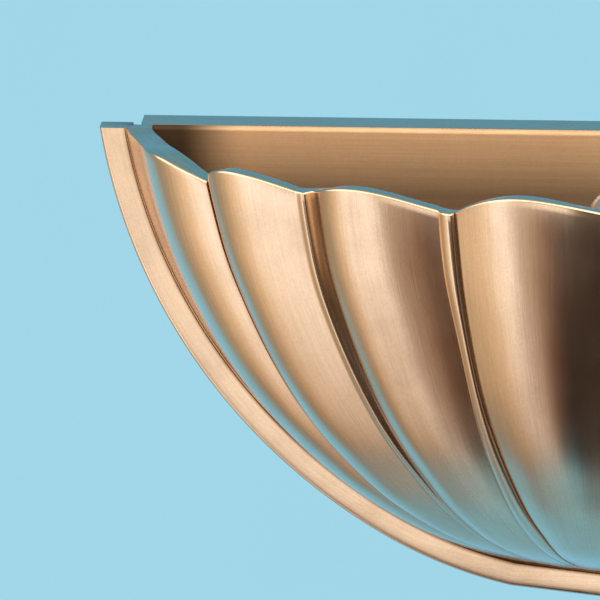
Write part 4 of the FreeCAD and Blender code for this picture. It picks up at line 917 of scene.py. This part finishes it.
# dimmer towards the floor
front = mix(nt, 1.0, front, ramp(el, -90.0, 90.0, [(-90.0, (0.30, 0.30, 0.30)), (-72.0, (0.42, 0.38, 0.36)), (-56.0, (0.66, 0.60, 0.56)), (-42.0, (0.92, 0.89, 0.86)), (-32.0, (1.0, 1.0, 1.0)), (90.0, (1.0, 1.0, 1.0))]), "MULTIPLY")
flange_light = math2(nt, "MULTIPLY", window(az, -34.0, -14.0, 14.0, 30.0), window(el, -29.0, -20.0, -8.0, 4.0))
front = mix(nt, flange_light, front, (1.36, 1.38, 1.48))
over = math2(nt, "MULTIPLY", rng(nt, el, 4.0, 34.0, 0.0, 1.0, True), 1.0)
front = mix(nt, over, front, (3.0, 2.75, 2.6))
top = rng(nt, el, 52.0, 80.0, 0.0, 1.0, True)
front = mix(nt, top, front, (0.55, 0.55, 0.56))
under = rng(nt, el, -66.0, -84.0, 0.0, 1.0, True)
front = mix(nt, under, front, (0.30, 0.72, 1.10))
# the pale blue wall behind
wall_col = ramp(dz, -1.0, 1.0, [(-1.0, (0.24, 0.60, 0.95)), (-0.75, (0.27, 0.74, 1.20)), (-0.45, (0.30, 0.78, 1.20)), (-0.20, (0.26, 0.60, 0.80)), (0.02, (0.13, 0.42, 0.66)), (0.5, (0.12, 0.42, 0.72)), (1.0, (0.40, 0.50, 0.60))])
is_wall = rng(nt, math2(nt, "SUBTRACT", dy, math2(nt, "MULTIPLY", math2(nt, "ADD", dz, 0.34), 0.85)), 0.42, 0.80, 0.0, 1.0, True)
up_back = math2(nt, "MULTIPLY", rng(nt, dy, 0.15, 0.45, 0.0, 1.0, True), rng(nt, dz, -0.18, 0.05, 0.0, 1.0, True))
is_wall = math2(nt, "MAXIMUM", is_wall, up_back)
nt.links.new(mix(nt, is_wall, front, wall_col), bg.inputs[0])
bg.inputs[1].default_value = 1.0


# --------------------------------------------------------------------- lights
def area(name, loc, target, size, size_y, power, colour=(1, 1, 1)):
    d = bpy.data.lights.new(name, "AREA")
    d.shape = "RECTANGLE"
    d.size, d.size_y = size, size_y
    d.energy = power
    d.color = colour
    o = bpy.data.objects.new(name, d)
    bpy.context.scene.collection.objects.link(o)
    o.location = loc
    o.rotation_mode = "QUATERNION"
    o.rotation_quaternion = (Vector(target) - Vector(loc)).to_track_quat("-Z", "Y")
    o.visible_glossy = False
    return o


area("key_soft", (-1.6, -1.9, 1.3), (0, -0.05, 0), 1.2, 1.2, 40.0)
area("top_soft", (0.4, -0.6, 2.4), (0, 0, 0), 1.6, 1.2, 25.0)
area("right_fill", (2.4, -0.9, 0.5), (0, 0, 0), 1.6, 1.6, 20.0)
area("back_fill", (0.6, 2.4, 0.8), (0, 0, 0), 1.6, 1.6, 20.0)

# --------------------------------------------------------------------- camera
PITCH, DIST, LENS = math.radians(15.5), 1.650, 339.27
aim = Vector((-0.0913, -0.0175, -0.0008))
psi = math.asin(0.0913 / (DIST * math.cos(PITCH)))
fwd = Vector((-math.sin(psi) * math.cos(PITCH), math.cos(psi) * math.cos(PITCH), -math.sin(PITCH)))
right = Vector((math.cos(psi), math.sin(psi), 0.0))
up = right.cross(fwd)
cd = bpy.data.cameras.new("camera")
cd.lens = LENS
cd.sensor_width = 36.0
cd.clip_start, cd.clip_end = 0.05, 30.0
cam = bpy.data.objects.new("camera", cd)
bpy.context.scene.collection.objects.link(cam)
cam.matrix_world = Matrix((
    (right.x, up.x, -fwd.x, aim.x - fwd.x * DIST),
    (right.y, up.y, -fwd.y, aim.y - fwd.y * DIST),
    (right.z, up.z, -fwd.z, aim.z - fwd.z * DIST),
    (0, 0, 0, 1)))
bpy.context.scene.camera = cam

bpy.context.scene.view_settings.view_transform = "Standard"
bpy.context.scene.view_settings.look = "None"

bpy.context.view_layer.update()
